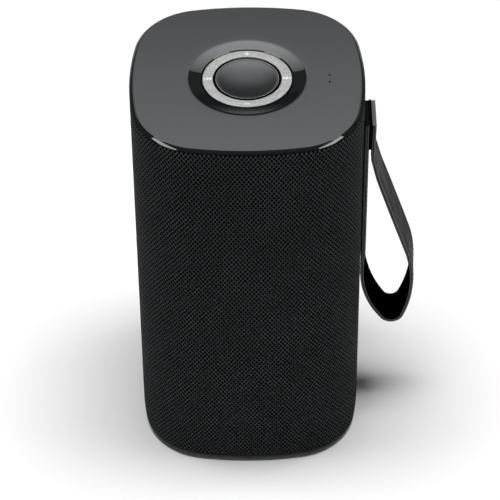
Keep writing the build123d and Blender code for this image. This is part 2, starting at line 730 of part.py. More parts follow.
with BuildPart() as base_tray:
    with BuildSketch(Plane.XY.offset(BASE_Z)):
        add(outline(0))
    extrude(amount=TRIM_TOP_Z - BASE_Z)
    fillet(base_tray.edges().group_by(Axis.Z)[0], 2.4)
    with BuildSketch(Plane.XY.offset(TRIM_TOP_Z)):
        add(wall(SKIRT_INSET, SKIRT_WALL))
    extrude(amount=1.8)
    with BuildSketch(Plane.XY.offset(TRIM_TOP_Z)):
        with GridLocations(2 * BASE_SCREW_X, 2 * BASE_SCREW_Y, 2, 2):
            Circle(2.8)
    extrude(amount=LOW_LUG_Z0 - TRIM_TOP_Z)
    with BuildSketch(Plane.XY.offset(TRIM_TOP_Z)):
        with corners(POST_AT):
            Circle(POST_RADIUS)
    extrude(amount=CHAMBER_BOTTOM_Z - TRIM_TOP_Z)
    with BuildSketch(Plane.XY.offset(TRIM_TOP_Z)):
        for y in STANDOFF_YS:
            with Locations((-STANDOFF_X, y), (STANDOFF_X, y)):
                Circle(2.8)
    extrude(amount=MAIN_PCB_Z - TRIM_TOP_Z)
    with Locations((0, 0, MAIN_PCB_Z)):
        for y in STANDOFF_YS:
            with Locations((-STANDOFF_X, y), (STANDOFF_X, y)):
                Hole(PILOT_HOLE, depth=9)
    with BuildSketch(Plane.XY.offset(BASE_Z)):
        with GridLocations(2 * BASE_SCREW_X, 2 * BASE_SCREW_Y, 2, 2):
            Circle(2.8)
    extrude(amount=2.4, mode=Mode.SUBTRACT)
    with BuildSketch(Plane.XY.offset(BASE_Z)):
        with GridLocations(2 * BASE_SCREW_X, 2 * BASE_SCREW_Y, 2, 2):
            Circle(CLEAR_HOLE)
    extrude(amount=LOW_LUG_Z0 - BASE_Z, mode=Mode.SUBTRACT)
save(base_tray, "base_tray")

with BuildPart() as base_screws:
    with Locations(Location((0, 0, BASE_Z + 2.4), (180, 0, 0))):
        with GridLocations(2 * BASE_SCREW_X, 2 * BASE_SCREW_Y, 2, 2):
            add(screw(2.4, 1.6, 1.2, 8.0))
save(base_screws, "base_screws")

with BuildPart() as foot_pad:
    with BuildSketch():
        add(outline(4.2))
    extrude(amount=BASE_Z)
save(foot_pad, "foot_pad")

with BuildPart() as battery_holder:
    with Locations((0, (HOLDER_Y0 + HOLDER_Y1) / 2, TRIM_TOP_Z)):
        Box(72, HOLDER_Y1 - HOLDER_Y0, CELL_Z + 2 - TRIM_TOP_Z, align=SEAT)
        Box(CELL_LENGTH + 2.0, HOLDER_Y1 - HOLDER_Y0 - 2.4, 40, align=SEAT, mode=Mode.SUBTRACT)
    # Cradles for the two cells, over a solid floor.
    with Locations((0, (HOLDER_Y0 + HOLDER_Y1) / 2, TRIM_TOP_Z)):
        Box(CELL_LENGTH + 2.0, HOLDER_Y1 - HOLDER_Y0 - 2.4, 5.2, align=SEAT)
    for y in CELL_YS:
        with Locations(Location((0, y, CELL_Z), (0, 90, 0))):
            Cylinder(CELL_RADIUS + 0.15, CELL_LENGTH + 2.0, mode=Mode.SUBTRACT)
save(battery_holder, "battery_holder")

with BuildPart() as battery_cells:
    for y in CELL_YS:
        with Locations(Location((0, y, CELL_Z), (0, 90, 0))):
            Cylinder(CELL_RADIUS, CELL_LENGTH)
save(battery_cells, "battery_cells")

with BuildPart() as battery_contacts:
    for y in CELL_YS:
        with Locations((-CELL_LENGTH / 2 - 0.5, y, CELL_Z), (CELL_LENGTH / 2 + 0.5, y, CELL_Z)):
            Box(0.8, 8, 8)
save(battery_contacts, "battery_contacts")

with BuildPart() as main_board:
    with Locations((0, (MAIN_PCB_Y0 + MAIN_PCB_Y1) / 2, MAIN_PCB_Z)):
        Box(MAIN_PCB_X, MAIN_PCB_Y1 - MAIN_PCB_Y0, PCB_THICKNESS, align=SEAT)
    with Locations((0, 0, MAIN_TOP_Z)):
        for y in STANDOFF_YS:
            with Locations((-STANDOFF_X, y), (STANDOFF_X, y)):
                Hole(CLEAR_HOLE)
save(main_board, "main_board")

with BuildPart() as board_screws:
    for y in STANDOFF_YS:
        with Locations((-STANDOFF_X, y, MAIN_TOP_Z), (STANDOFF_X, y, MAIN_TOP_Z)):
            add(screw(2.4, 1.6, 1.2, 8.0))
save(board_screws, "board_screws")

with BuildPart() as main_chips:
    with Locations((-6, -22, MAIN_TOP_Z)):
        Box(7, 7, 1.0, align=SEAT)
    with Locations((10, -26, MAIN_TOP_Z)):
        Box(9, 6.4, 1.2, align=SEAT)
    with Locations((14, 20, MAIN_TOP_Z)):
        Box(5, 5, 0.9, align=SEAT)
save(main_chips, "main_chips")

with BuildPart() as radio_shield:
    with Locations((-12, 6, MAIN_TOP_Z)):
        Box(18, 14, 2.4, align=SEAT)
    fillet(radio_shield.edges().filter_by(Axis.Z), 0.8)
save(radio_shield, "radio_shield")

with BuildPart() as capacitors:
    with Locations((2, -33, MAIN_TOP_Z), (-8, -33, MAIN_TOP_Z)):
        Cylinder(3.15, 7.7, align=SEAT)
save(capacitors, "capacitors")

with BuildPart() as usb_socket:
    with BuildSketch(Plane.XZ.offset(-SOCKET_FACE_Y)):
        with Locations((USB_X, USB_Z)):
            SlotOverall(8.94, 3.26)
            SlotOverall(8.34, 2.56, mode=Mode.SUBTRACT)
    extrude(amount=6.2)
    with BuildSketch(Plane.XZ.offset(-SOCKET_FACE_Y + 6.2)):
        with Locations((USB_X, USB_Z)):
            SlotOverall(8.94, 3.26)
    extrude(amount=1.2)
    # The tongue that the plug closes round.
    with Locations((USB_X, SOCKET_FACE_Y - 0.6, USB_Z)):
        Box(6.2, 5.8, 0.7, align=(Align.CENTER, Align.MAX, Align.CENTER))
save(usb_socket, "usb_socket")

with BuildPart() as audio_socket:
    with Locations((AUX_X, 45.0, AUX_Z)):
        Box(7.0, 12.0, 6.4, align=(Align.CENTER, Align.MAX, Align.CENTER))
    with BuildSketch(Plane.XZ.offset(-SOCKET_FACE_Y)):
        with Locations((AUX_X, AUX_Z)):
            Circle(2.9)
    extrude(amount=3.8)
    with BuildSketch(Plane.XZ.offset(-SOCKET_FACE_Y)):
        with Locations((AUX_X, AUX_Z)):
            Circle(1.8)
    extrude(amount=14.0, mode=Mode.SUBTRACT)
save(audio_socket, "audio_socket")

with BuildPart() as socket_panel:
    with BuildSketch(Plane.XZ.offset(-HALF_WIDTH - 1)):
        with Locations((0, PORT_Z)):
            RectangleRounded(PORT_WIDTH, PORT_HEIGHT, 3.0)
    extrude(amount=HALF_WIDTH + 1 - 46.6)
    with BuildSketch(Plane.XZ.offset(-48.0)):
        with Locations((0, PORT_Z)):
            RectangleRounded(PORT_WIDTH + 4, PORT_HEIGHT + 2, 3.0)
    extrude(amount=48.0 - 46.6)
    with BuildSketch():
        add(outline(-0.1))
    extrude(amount=60, mode=Mode.INTERSECT)
    with BuildSketch(Plane.XZ.offset(-HALF_WIDTH - 1)):
        with Locations((0, (RECESS_Z0 + RECESS_Z1) / 2)):
            RectangleRounded(RECESS_WIDTH, RECESS_Z1 - RECESS_Z0, 2.0)
    extrude(amount=HALF_WIDTH + 1 - RECESS_FLOOR_Y, mode=Mode.SUBTRACT)
    with BuildSketch(Plane.XZ.offset(-HALF_WIDTH)):
        with Locations((USB_X, USB_Z)):
            SlotOverall(9.3, 3.6)
        with Locations((AUX_X, AUX_Z)):
            Circle(3.1)
    extrude(amount=7, mode=Mode.SUBTRACT)
save(socket_panel, "socket_panel")

FLAP_GAP = 0.3

with BuildPart() as socket_flap:
    with BuildSketch(Plane.XZ.offset(-HALF_WIDTH - 1)):
        with Locations((0, (RECESS_Z0 + RECESS_Z1) / 2)):
            RectangleRounded(RECESS_WIDTH - 2 * FLAP_GAP, RECESS_Z1 - RECESS_Z0 - 2 * FLAP_GAP, 1.7)
    extrude(amount=HALF_WIDTH + 1 - RECESS_FLOOR_Y - FLAP_GAP)
    with BuildSketch():
        add(outline(0.1))
    extrude(amount=60, mode=Mode.INTERSECT)
    # A notch in the lower edge to lift it by.
    with BuildSketch(Plane.XZ.offset(-HALF_WIDTH - 1)):
        with Locations((0, RECESS_Z0 + FLAP_GAP)):
            SlotOverall(9.0, 2.0)
    extrude(amount=3.0, mode=Mode.SUBTRACT)
save(socket_flap, "socket_flap")


# ---- Leads ----
CABLE_X = -48.4  # the flat cable runs down between the chamber and the frame
LEAD_RADIUS = 0.7


def lead(radius, points, bend):
    """A round lead along straight runs joined by arcs."""
    with BuildPart(mode=Mode.PRIVATE) as wire:
        with BuildLine():
            path = FilletPolyline(*points, radius=bend)
        with BuildSketch(Plane(origin=path @ 0, z_dir=path % 0)):
            Circle(radius)
        sweep()
    return wire.part


with BuildPart() as control_cable:
    with BuildLine():
        cable_path = FilletPolyline(
            (-26.3, 0, 178.0),
            (CABLE_X, 0, 178.0),
            (CABLE_X, 0, 30.2),
            (-26.3, 0, 30.2),
            radius=1.5,
        )
    with BuildSketch(Plane.YZ.offset(-26.3)):
        with Locations((0, 178.0)):
            Rectangle(12, 0.3)
    sweep()
save(control_cable, "control_cable")

with BuildPart() as cable_sockets:
    with Locations((-24.0, 0, CONTROL_PCB_Z)):
        Box(4.6, 14, 1.8, align=HANG)
    with Locations((-24.0, 0, MAIN_TOP_Z)):
        Box(4.6, 14, 2.4, align=SEAT)
    with Locations((GROMMET_X, GROMMET_Y, MAIN_TOP_Z)):
        Box(6, 4, 3.0, align=SEAT)
    with Locations((26.0, -12.0, MAIN_TOP_Z)):
        Box(4, 6, 3.0, align=SEAT)
save(cable_sockets, "cable_sockets")

with BuildPart() as driver_lead:
    for x in (GROMMET_X - 1.2, GROMMET_X + 1.2):
        start = (x, GROMMET_Y, MAIN_TOP_Z + 3.0)
        add(lead(LEAD_RADIUS, [start, (x, GROMMET_Y, 86), (x, -30.0, 86), (x, -30.0, 94.0)], 4))
save(driver_lead, "driver_lead")

with BuildPart() as lead_grommet:
    with BuildSketch(Plane.XY.offset(CHAMBER_BOTTOM_Z)):
        with Locations((GROMMET_X, GROMMET_Y)):
            Circle(4.0)
    extrude(amount=CHAMBER_LID)
    with BuildSketch(Plane.XY.offset(CHAMBER_BOTTOM_Z)):
        with Locations((GROMMET_X, GROMMET_Y)):
            Circle(5.4)
    extrude(amount=-1.2)
    with BuildSketch(Plane.XY.offset(CHAMBER_BOTTOM_Z - 1.2)):
        with Locations((GROMMET_X - 1.2, GROMMET_Y), (GROMMET_X + 1.2, GROMMET_Y)):
            Circle(LEAD_RADIUS)
    extrude(amount=CHAMBER_LID + 1.2, mode=Mode.SUBTRACT)
save(lead_grommet, "lead_grommet")

with BuildPart() as battery_lead:
    beside = 36.0 + LEAD_RADIUS
    for y in (-10.8, -13.2):
        points = [(beside, y, 10), (beside, y, 35), (26.0, y, 35), (26.0, y, MAIN_TOP_Z + 3.0)]
        add(lead(LEAD_RADIUS, points, 2.5))
save(battery_lead, "battery_lead")


# ---- Hand strap ----
TAB_HEIGHT = TAB_Z1 - TAB_Z0
CORE_X = STRAP_FACE_X + LEATHER
OUTER_RUN_X = CORE_X + CORE
RUN_IN = STRAP_FACE_X + LEATHER / 2  # middle of the inner run
RUN_OUT = OUTER_RUN_X + LEATHER / 2  # and of the outer run where it leaves the tab
LOOP_TOP_Z = TAB_Z0 - HINGE_GAP


with BuildPart() as tab_inner:
    with Locations((STRAP_FACE_X, 0, TAB_Z0)):
        Box(LEATHER, STRAP_WIDTH, TAB_HEIGHT, align=(Align.MIN, Align.CENTER, Align.MIN))
    with BuildSketch(Plane.YZ.offset(STRAP_FACE_X)):
        for z in STRAP_SCREW_ZS:
            with Locations((0, z)):
                Circle(1.3)
    extrude(amount=LEATHER, mode=Mode.SUBTRACT)
    fillet(tab_inner.edges().filter_by(Axis.Y).group_by(Axis.Z)[-1].sort_by(Axis.X)[0], 0.8)
save(tab_inner, "tab_inner")

with BuildPart() as tab_core:
    with Locations((CORE_X, 0, TAB_Z0)):
        Box(CORE, STRAP_WIDTH - 0.6, TAB_HEIGHT + 0.5, align=(Align.MIN, Align.CENTER, Align.MIN))
    with BuildSketch(Plane.YZ.offset(CORE_X)):
        for z in STRAP_SCREW_ZS:
            with Locations((0, z)):
                Circle(PILOT_HOLE)
    extrude(amount=CORE, mode=Mode.SUBTRACT)
    fillet(tab_core.edges().filter_by(Axis.Y).group_by(Axis.Z)[-1], 0.6)
save(tab_core, "tab_core")

with BuildPart() as tab_outer:
    with Locations((OUTER_RUN_X, 0, TAB_Z0)):
        Box(LEATHER, STRAP_WIDTH, TAB_HEIGHT, align=(Align.MIN, Align.CENTER, Align.MIN))
    fillet(tab_outer.edges().filter_by(Axis.Y).group_by(Axis.Z)[-1].sort_by(Axis.X)[-1], 0.9)
save(tab_outer, "tab_outer")

with BuildPart() as strap_screws:
    with Locations(Location((49.5, 0, 0), (0, -90, 0))):
        for z in STRAP_SCREW_ZS:
            with Locations((z, 0, 0)):
                add(screw(2.3, 1.4, 1.2, 6.2))
save(strap_screws, "strap_screws")

with BuildPart() as strap_loop:
    with BuildLine():
        loop_path = FilletPolyline(
            (RUN_OUT, 0, LOOP_TOP_Z),
            (RUN_OUT, 0, 152.3),
            (59.8, 0, 140.0),
            (80.9, 0, 75.4),
            (69.1, 0, 45.5),
            (RUN_IN, 0, 67.5),
            (RUN_IN, 0, LOOP_TOP_Z),
            radius=(8, 116, 63, 5, 54),
        )
    with BuildSketch(Plane.XY.offset(LOOP_TOP_Z)):
        with Locations((RUN_OUT, 0)):
            Rectangle(LEATHER, STRAP_WIDTH)
    sweep()
save(strap_loop, "strap_loop")
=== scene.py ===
"""Looks of the portable speaker: woven sleeve, gloss top with dish, ring and button, leather hand strap."""

import json
import math

import bmesh
import bpy
from mathutils import Matrix, Vector


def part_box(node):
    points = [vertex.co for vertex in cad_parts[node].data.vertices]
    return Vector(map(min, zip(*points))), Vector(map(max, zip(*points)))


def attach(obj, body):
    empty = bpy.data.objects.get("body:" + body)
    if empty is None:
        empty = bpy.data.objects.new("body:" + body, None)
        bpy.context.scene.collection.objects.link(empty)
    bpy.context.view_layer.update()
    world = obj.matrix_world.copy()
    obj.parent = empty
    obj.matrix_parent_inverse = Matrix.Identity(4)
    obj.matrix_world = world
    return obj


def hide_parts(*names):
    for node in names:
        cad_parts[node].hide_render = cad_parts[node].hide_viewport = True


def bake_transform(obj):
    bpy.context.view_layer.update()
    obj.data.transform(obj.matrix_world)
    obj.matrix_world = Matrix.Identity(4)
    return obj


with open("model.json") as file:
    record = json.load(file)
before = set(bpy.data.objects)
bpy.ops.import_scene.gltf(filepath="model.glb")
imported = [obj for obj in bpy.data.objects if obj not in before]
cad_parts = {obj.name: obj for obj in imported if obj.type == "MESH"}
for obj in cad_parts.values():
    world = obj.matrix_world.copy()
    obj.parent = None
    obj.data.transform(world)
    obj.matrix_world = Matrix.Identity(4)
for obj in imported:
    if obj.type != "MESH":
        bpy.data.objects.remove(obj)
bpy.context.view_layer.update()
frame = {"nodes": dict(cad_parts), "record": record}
MM = 0.001

# ---- Sizes taken from the CAD nodes ----
SLEEVE_LOW, SLEEVE_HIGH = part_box("fabric_sleeve")
TAB_LOW, TAB_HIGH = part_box("tab_outer")
INNER_LOW, INNER_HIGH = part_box("tab_inner")
LOOP_LOW, LOOP_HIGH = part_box("strap_loop")

HALF_WIDTH = SLEEVE_HIGH.x
TRIM_Z = SLEEVE_LOW.z
RIM_Z = SLEEVE_HIGH.z
BASE_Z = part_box("base_tray")[0].z
TOP_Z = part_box("top_cover")[1].z
RING_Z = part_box("nav_ring")[1].z
BUTTON_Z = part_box("centre_button")[1].z

# Sizes within the nodes, which their boxes don't give, as the CAD has them.
SIDE_RADIUS = 150 * MM
CORNER_RADIUS = 31 * MM
DISH_RADIUS = 26.4 * MM
DISH_DEPTH = 2.2 * MM
WELL_RADIUS = 20.6 * MM

# ---- The body's outline ----
SIDE_CENTRE = HALF_WIDTH - SIDE_RADIUS
ARC_GAP = SIDE_RADIUS - CORNER_RADIUS
CORNER_CENTRE = (SIDE_CENTRE + math.sqrt(2 * ARC_GAP**2 - SIDE_CENTRE**2)) / 2
HALF_SIDE_ANGLE = math.atan2(CORNER_CENTRE, CORNER_CENTRE - SIDE_CENTRE)
SIDE_STEPS, CORNER_STEPS = 24, 36
AROUND = 4 * (SIDE_STEPS + CORNER_STEPS)
LEAST_RADIUS = 1e-6  # in place of zero, so that a ring of points keeps its shape


def plan_points(inset):
    """The body's rounded-square outline, drawn in by inset, as points that match between insets."""
    points = []
    for quarter in range(4):
        turn = quarter * math.pi / 2
        side = Matrix.Rotation(turn, 2) @ Vector((SIDE_CENTRE, 0))
        corner = Matrix.Rotation(turn, 2) @ Vector((CORNER_CENTRE, CORNER_CENTRE))
        for step in range(SIDE_STEPS):
            angle = turn - HALF_SIDE_ANGLE + 2 * HALF_SIDE_ANGLE * step / SIDE_STEPS
            points.append(side + (SIDE_RADIUS - inset) * Vector((math.cos(angle), math.sin(angle))))
        sweep = math.pi / 2 - 2 * HALF_SIDE_ANGLE
        for step in range(CORNER_STEPS):
            angle = turn + HALF_SIDE_ANGLE + sweep * step / CORNER_STEPS
            points.append(corner + (CORNER_RADIUS - inset) * Vector((math.cos(angle), math.sin(angle))))
    return points


def plan_ring(inset, z):
    """One closed ring of the body's outline at height z."""
    return [Vector((p.x, p.y, z)) for p in plan_points(inset)]


def round_ring(radius, z, count=AROUND):
    """One closed circle at height z. With the full count its points face those of a plan ring."""
    if count != AROUND:
        turns = [2 * math.pi * i / count for i in range(count)]
    else:
        turns = [math.atan2(p.y, p.x) for p in plan_points(0)]
    return [Vector((radius * math.cos(t), radius * math.sin(t), z)) for t in turns]


# ---- Mesh helpers ----
def new_object(name, mesh, material, body):
    """Puts a mesh in the scene with its material, riding on a CAD body."""
    made = bpy.data.objects.new(name, mesh)
    bpy.context.scene.collection.objects.link(made)
    if material is not None:
        mesh.materials.append(material)
    if body is not None:
        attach(made, body)
    return made


def loft(name, rings, material, body, wrap=True, caps=(False, False), smooth=True):
    """A surface through matching rings of points.

    Its UVs are in metres, along the ring and from ring to ring.
    """
    mesh = bpy.data.meshes.new(name)
    count = len(rings[0])
    vertices = [tuple(p) for ring in rings for p in ring]
    span = count if wrap else count - 1
    along = [0.0]
    for i in range(span):
        along.append(along[-1] + (rings[0][(i + 1) % count] - rings[0][i]).length)
    across = [0.0]
    for a, b in zip(rings, rings[1:]):
        across.append(across[-1] + (b[0] - a[0]).length)
    faces, uvs = [], []
    for r in range(len(rings) - 1):
        for i in range(span):
            j = (i + 1) % count
            faces.append((r * count + i, r * count + j, (r + 1) * count + j, (r + 1) * count + i))
            uvs += [
                (along[i], across[r]),
                (along[i + 1], across[r]),
                (along[i + 1], across[r + 1]),
                (along[i], across[r + 1]),
            ]
    if caps[0]:
        faces.append(tuple(reversed(range(count))))
        uvs += [(p.x, p.y) for p in reversed(rings[0])]
    if caps[1]:
        base = (len(rings) - 1) * count
        faces.append(tuple(range(base, base + count)))
        uvs += [(p.x, p.y) for p in rings[-1]]
    mesh.from_pydata(vertices, [], faces)
    layer = mesh.uv_layers.new(name="UVMap")
    for loop, uv in zip(layer.data, uvs):
        loop.uv = uv
    mesh.polygons.foreach_set("use_smooth", [smooth] * len(mesh.polygons))
    mesh.update()
    return new_object(name, mesh, material, body)


def sharpen(made, degrees):
    """Keeps edges sharper than that angle crisp under smooth shading."""
    mesh = made.data
    bm = bmesh.new()
    bm.from_mesh(mesh)
    bmesh.ops.recalc_face_normals(bm, faces=bm.faces)
    for edge in bm.edges:
        edge.smooth = not edge.is_manifold or edge.calc_face_angle(0) < math.radians(degrees)
    bm.to_mesh(mesh)
    bm.free()
    return made


def arc(centre, radius, start, end, steps):
    """Points of a circular arc in a half-section, angles in degrees."""
    turns = [math.radians(start + (end - start) * i / steps) for i in range(steps + 1)]
    return [(centre[0] + radius * math.cos(t), centre[1] + radius * math.sin(t)) for t in turns]


TURNED_CREASE = 35  # in degrees


def turned(name, profile, material, body, count=160):
    """A surface of revolution about the body's axis, from (radius, height) points."""
    rings = [round_ring(max(r, LEAST_RADIUS), z, count) for r, z in profile]
    return sharpen(loft(name, rings, material, body), TURNED_CREASE)


# ---- Material helpers ----
def new_material(name):
    """A new material with its node tree and its shader."""
    made = bpy.data.materials.new(name)
    made.use_nodes = True
    return made, made.node_tree, made.node_tree.nodes["Principled BSDF"]


def node(tree, kind, **values):
    """Adds a node. Values name either its properties or its input sockets."""
    made = tree.nodes.new(kind)
    for key, value in values.items():
        if hasattr(made, key):
            setattr(made, key, value)
        else:
            made.inputs[key.replace("_", " ")].default_value = value
    return made


def math_node(tree, operation, a, b=None):
    """A Math node whose operands are sockets or numbers. Returns its result."""
    made = tree.nodes.new("ShaderNodeMath")
    made.operation = operation
    for slot, value in ((0, a), (1, b)):
        if value is None:
            continue
        if isinstance(value, (int, float)):
            made.inputs[slot].default_value = value
        else:
            tree.links.new(value, made.inputs[slot])
    return made.outputs[0]


def ramp(tree, factor, stops):
    """A colour ramp from (position, level) stops, whose levels are greys or colours."""
    made = tree.nodes.new("ShaderNodeValToRGB")
    elements = made.color_ramp.elements
    while len(elements) < len(stops):
        elements.new(0.5)
    for element, (position, level) in zip(elements, stops):
        element.position = position
        colour = level if isinstance(level, tuple) else (level, level, level)
        element.color = (*colour, 1)
    tree.links.new(factor, made.inputs[0])
    return made.outputs[0]


def noise(tree, scale, detail=3.0, vector=None, roughness=0.5):
    """A noise texture's value in object space, or along a given vector."""
    made = node(tree, "ShaderNodeTexNoise", Scale=scale, Detail=detail, Roughness=roughness)
    if vector is None:
        vector = tree.nodes.new("ShaderNodeTexCoord").outputs["Object"]
    tree.links.new(vector, made.inputs["Vector"])
    return made.outputs["Fac"]


def bump(tree, shader, height, strength, distance):
    """Drives the shader's normal from a height."""
    made = node(tree, "ShaderNodeBump", Strength=strength, Distance=distance)
    tree.links.new(height, made.inputs["Height"])
    tree.links.new(made.outputs["Normal"], shader.inputs["Normal"])


def plain(name, colour, roughness, grain_scale=900.0, grain=0.05, specular=0.5, metallic=0.0):
    """A material with a fine moulded or machined grain and slight wear in its finish."""
    made, tree, shader = new_material(name)
    shader.inputs["Base Color"].default_value = (*colour, 1)
    shader.inputs["Specular IOR Level"].default_value = specular
    shader.inputs["Metallic"].default_value = metallic
    patches = noise(tree, 60.0, 4.0)
    low, high = max(roughness - 0.05, 0.02), min(roughness + 0.06, 1.0)
    tree.links.new(ramp(tree, patches, [(0.3, low), (0.7, high)]), shader.inputs["Roughness"])
    fine = noise(tree, grain_scale, 2.0)
    bump(tree, shader, fine, grain, 0.0002)
    return made


# ---- Materials ----
WEAVE_ACROSS = 2.0 * MM  # from one hole to the next along the body's girth
WEAVE_UP = 2.8 * MM  # and up its height
THREAD_SHARPNESS = 4.0  # a higher power makes thinner threads
THREAD_STEP = 0.10  # how far the thread below lies under the thread above, as a share of a thread's height
THREAD_WANDER = 0.5  # how far a thread strays from its line, in radians of the weave's waves
FUZZ = 0.80  # height of the stray fibres, in the same unit as the threads
# Colours by thread height: painted shadow in the holes, painted shade on the threads' flanks and painted
# light on their crowns.
HOLE_PAINTED_SHADOW = (0.0001, 0.0001, 0.0002)
FLANK_PAINTED_SHADE = (0.0036, 0.0040, 0.0043)
CROWN_PAINTED_LIGHT = (0.098, 0.107, 0.112)


def weave_material():
    """Black mesh fabric: two sets of slanting threads crossing over and under, with the holes between
    painted near-black as shadow and the threads painted lighter towards their crowns as light.
    """
    made, tree, shader = new_material("woven_mesh")
    coordinates = tree.nodes.new("ShaderNodeUVMap")
    coordinates.uv_map = "UVMap"
    split = tree.nodes.new("ShaderNodeSeparateXYZ")
    tree.links.new(coordinates.outputs[0], split.inputs[0])
    wobble = noise(tree, 220.0, 2.0, coordinates.outputs[0])
    shift = math_node(tree, "MULTIPLY", math_node(tree, "SUBTRACT", wobble, 0.5), THREAD_WANDER)
    across = math_node(tree, "MULTIPLY", split.outputs[0], math.pi / WEAVE_ACROSS)
    across = math_node(tree, "ADD", across, shift)
    upward = math_node(tree, "MULTIPLY", split.outputs[1], math.pi / WEAVE_UP)
    wave_a = math_node(tree, "SINE", math_node(tree, "ADD", across, upward))
    wave_b = math_node(tree, "SINE", math_node(tree, "SUBTRACT", across, upward))
    # One thread is above the other in alternate squares.
    over = math_node(tree, "GREATER_THAN", math_node(tree, "MULTIPLY", wave_a, wave_b), 0.0)
    step = math_node(tree, "MULTIPLY", over, THREAD_STEP)
    lift_a = math_node(tree, "ADD", step, 1 - THREAD_STEP)
    lift_b = math_node(tree, "SUBTRACT", 1.0, step)
    crown_a = math_node(tree, "POWER", math_node(tree, "ABSOLUTE", wave_a), THREAD_SHARPNESS)
    crown_b = math_node(tree, "POWER", math_node(tree, "ABSOLUTE", wave_b), THREAD_SHARPNESS)
    height_a = math_node(tree, "MULTIPLY", crown_a, lift_a)
    height_b = math_node(tree, "MULTIPLY", crown_b, lift_b)
    threads = math_node(tree, "MAXIMUM", height_a, height_b)
    fibres = noise(tree, 1500.0, 3.0, coordinates.outputs[0])
    fuzz = math_node(tree, "MULTIPLY", math_node(tree, "SUBTRACT", fibres, 0.5), FUZZ)
    height = math_node(tree, "ADD", threads, fuzz)
    # The height paints the colour: painted shadow in the holes, painted shade on the flanks and on the
    # lower thread, painted light on the crowns.
    shade = ramp(tree, height, [(0.45, HOLE_PAINTED_SHADOW), (0.78, FLANK_PAINTED_SHADE), (1.0, CROWN_PAINTED_LIGHT)])
    # Broad random patches, from 0.7 to 1.3 of the threads' painted light and shade.
    patch = noise(tree, 38.0, 3.0, coordinates.outputs[0])
    fade = math_node(tree, "ADD", math_node(tree, "MULTIPLY", patch, 0.6), 0.7)
    mix = node(tree, "ShaderNodeMix", data_type="RGBA", blend_type="MULTIPLY")
    mix.inputs["Factor"].default_value = 1.0
    tree.links.new(shade, mix.inputs[6])
    tree.links.new(fade, mix.inputs[7])
    tree.links.new(mix.outputs[2], shader.inputs["Base Color"])
    shader.inputs["Roughness"].default_value = 0.78
    shader.inputs["Specular IOR Level"].default_value = 0.04
    bump(tree, shader, height, 0.9, 0.0004)
    return made


def gloss_material():
    """Gloss black moulding with the faintest ripple and fine hairline scuffs."""
    made, tree, shader = new_material("gloss_cover")
    shader.inputs["Base Color"].default_value = (0.008, 0.0085, 0.009, 1)
    shader.inputs["IOR"].default_value = 1.5
    scuffs = noise(tree, 400.0, 5.0)
    tree.links.new(ramp(tree, scuffs, [(0.35, 0.02), (0.75, 0.045)]), shader.inputs["Roughness"])
    bump(tree, shader, noise(tree, 25.0, 2.0), 0.04, 0.0003)
    return made


def satin_material():
    """The button's satin black finish."""
    made, tree, shader = new_material("satin_button")
    shader.inputs["Base Color"].default_value = (0.012, 0.0125, 0.013, 1)
    sheen = ramp(tree, noise(tree, 500.0, 4.0), [(0.3, 0.15), (0.7, 0.20)])
    tree.links.new(sheen, shader.inputs["Roughness"])
    bump(tree, shader, noise(tree, 2500.0, 2.0), 0.06, 0.0002)
    return made


def ring_material():
    """Sprayed silver with fine metallic flake."""
    made, tree, shader = new_material("silver_ring")
    flake = noise(tree, 1700.0, 4.0)
    colour = ramp(tree, flake, [(0.3, (0.26, 0.26, 0.255)), (0.7, (0.52, 0.52, 0.51))])
    tree.links.new(colour, shader.inputs["Base Color"])
    shader.inputs["Metallic"].default_value = 0.55
    tree.links.new(ramp(tree, noise(tree, 900.0), [(0.3, 0.42), (0.7, 0.55)]), shader.inputs["Roughness"])
    bump(tree, shader, flake, 0.12, 0.0001)
    return made


def leather_material(name, low, high, specular):
    """Fine-grained leather: small cells with creases between, painted darker as shade, and paler wear on
    the high spots.
    """
    made, tree, shader = new_material(name)
    place = tree.nodes.new("ShaderNodeTexCoord").outputs["Object"]
    cells = node(tree, "ShaderNodeTexVoronoi", feature="DISTANCE_TO_EDGE", Scale=1500.0)
    tree.links.new(place, cells.inputs["Vector"])
    creases = ramp(tree, cells.outputs["Distance"], [(0.0, 0.0), (0.25, 1.0)])
    wear = noise(tree, 120.0, 5.0)
    worn = math_node(tree, "ADD", math_node(tree, "MULTIPLY", wear, 0.8), 0.5)
    # Painted shade in the creases, times the paler random wear.
    crease_shade_and_wear = math_node(tree, "MULTIPLY", creases, worn)
    tree.links.new(ramp(tree, crease_shade_and_wear, [(0.1, low), (0.9, high)]), shader.inputs["Base Color"])
    tree.links.new(ramp(tree, wear, [(0.3, 0.42), (0.7, 0.58)]), shader.inputs["Roughness"])
    shader.inputs["Specular IOR Level"].default_value = specular
    bump(tree, shader, creases, 0.35, 0.0002)
    return made


weave = weave_material()
gloss = gloss_material()
satin = satin_material()
silver = ring_material()
leather = leather_material(
    "strap_leather", low=(0.0022, 0.0022, 0.0023), high=(0.0060, 0.0060, 0.0062), specular=0.05
)
lining = leather_material(
    "strap_lining", low=(0.0008, 0.0008, 0.0008), high=(0.002, 0.002, 0.002), specular=0.0
)
edge_paint = plain("strap_edge", (0.085, 0.085, 0.086), roughness=0.6, grain_scale=1500.0, grain=0.3)
thread = plain("strap_thread", (0.026, 0.026, 0.027), roughness=0.7, grain_scale=4000.0, grain=0.5)
lining_thread = plain(
    "lining_thread", (0.002, 0.002, 0.002), roughness=0.8, grain_scale=4000.0, grain=0.5, specular=0.05
)
base_plastic = plain(
    "base_plastic", (0.005, 0.005, 0.0053), roughness=0.42, grain_scale=1800.0, grain=0.12, specular=0.3
)
wall_plastic = plain(
    "cover_wall", (0.003, 0.003, 0.0032), roughness=0.8, grain_scale=3000.0, grain=0.4, specular=0.1
)
# Near-black that paints shade into gaps and holes: the ring's and button's walls, the pin-holes, the tab's
# core and the light pipe.
painted_shade_black = plain("painted_shade_black", (0.001, 0.001, 0.001), roughness=0.7, specular=0.04)
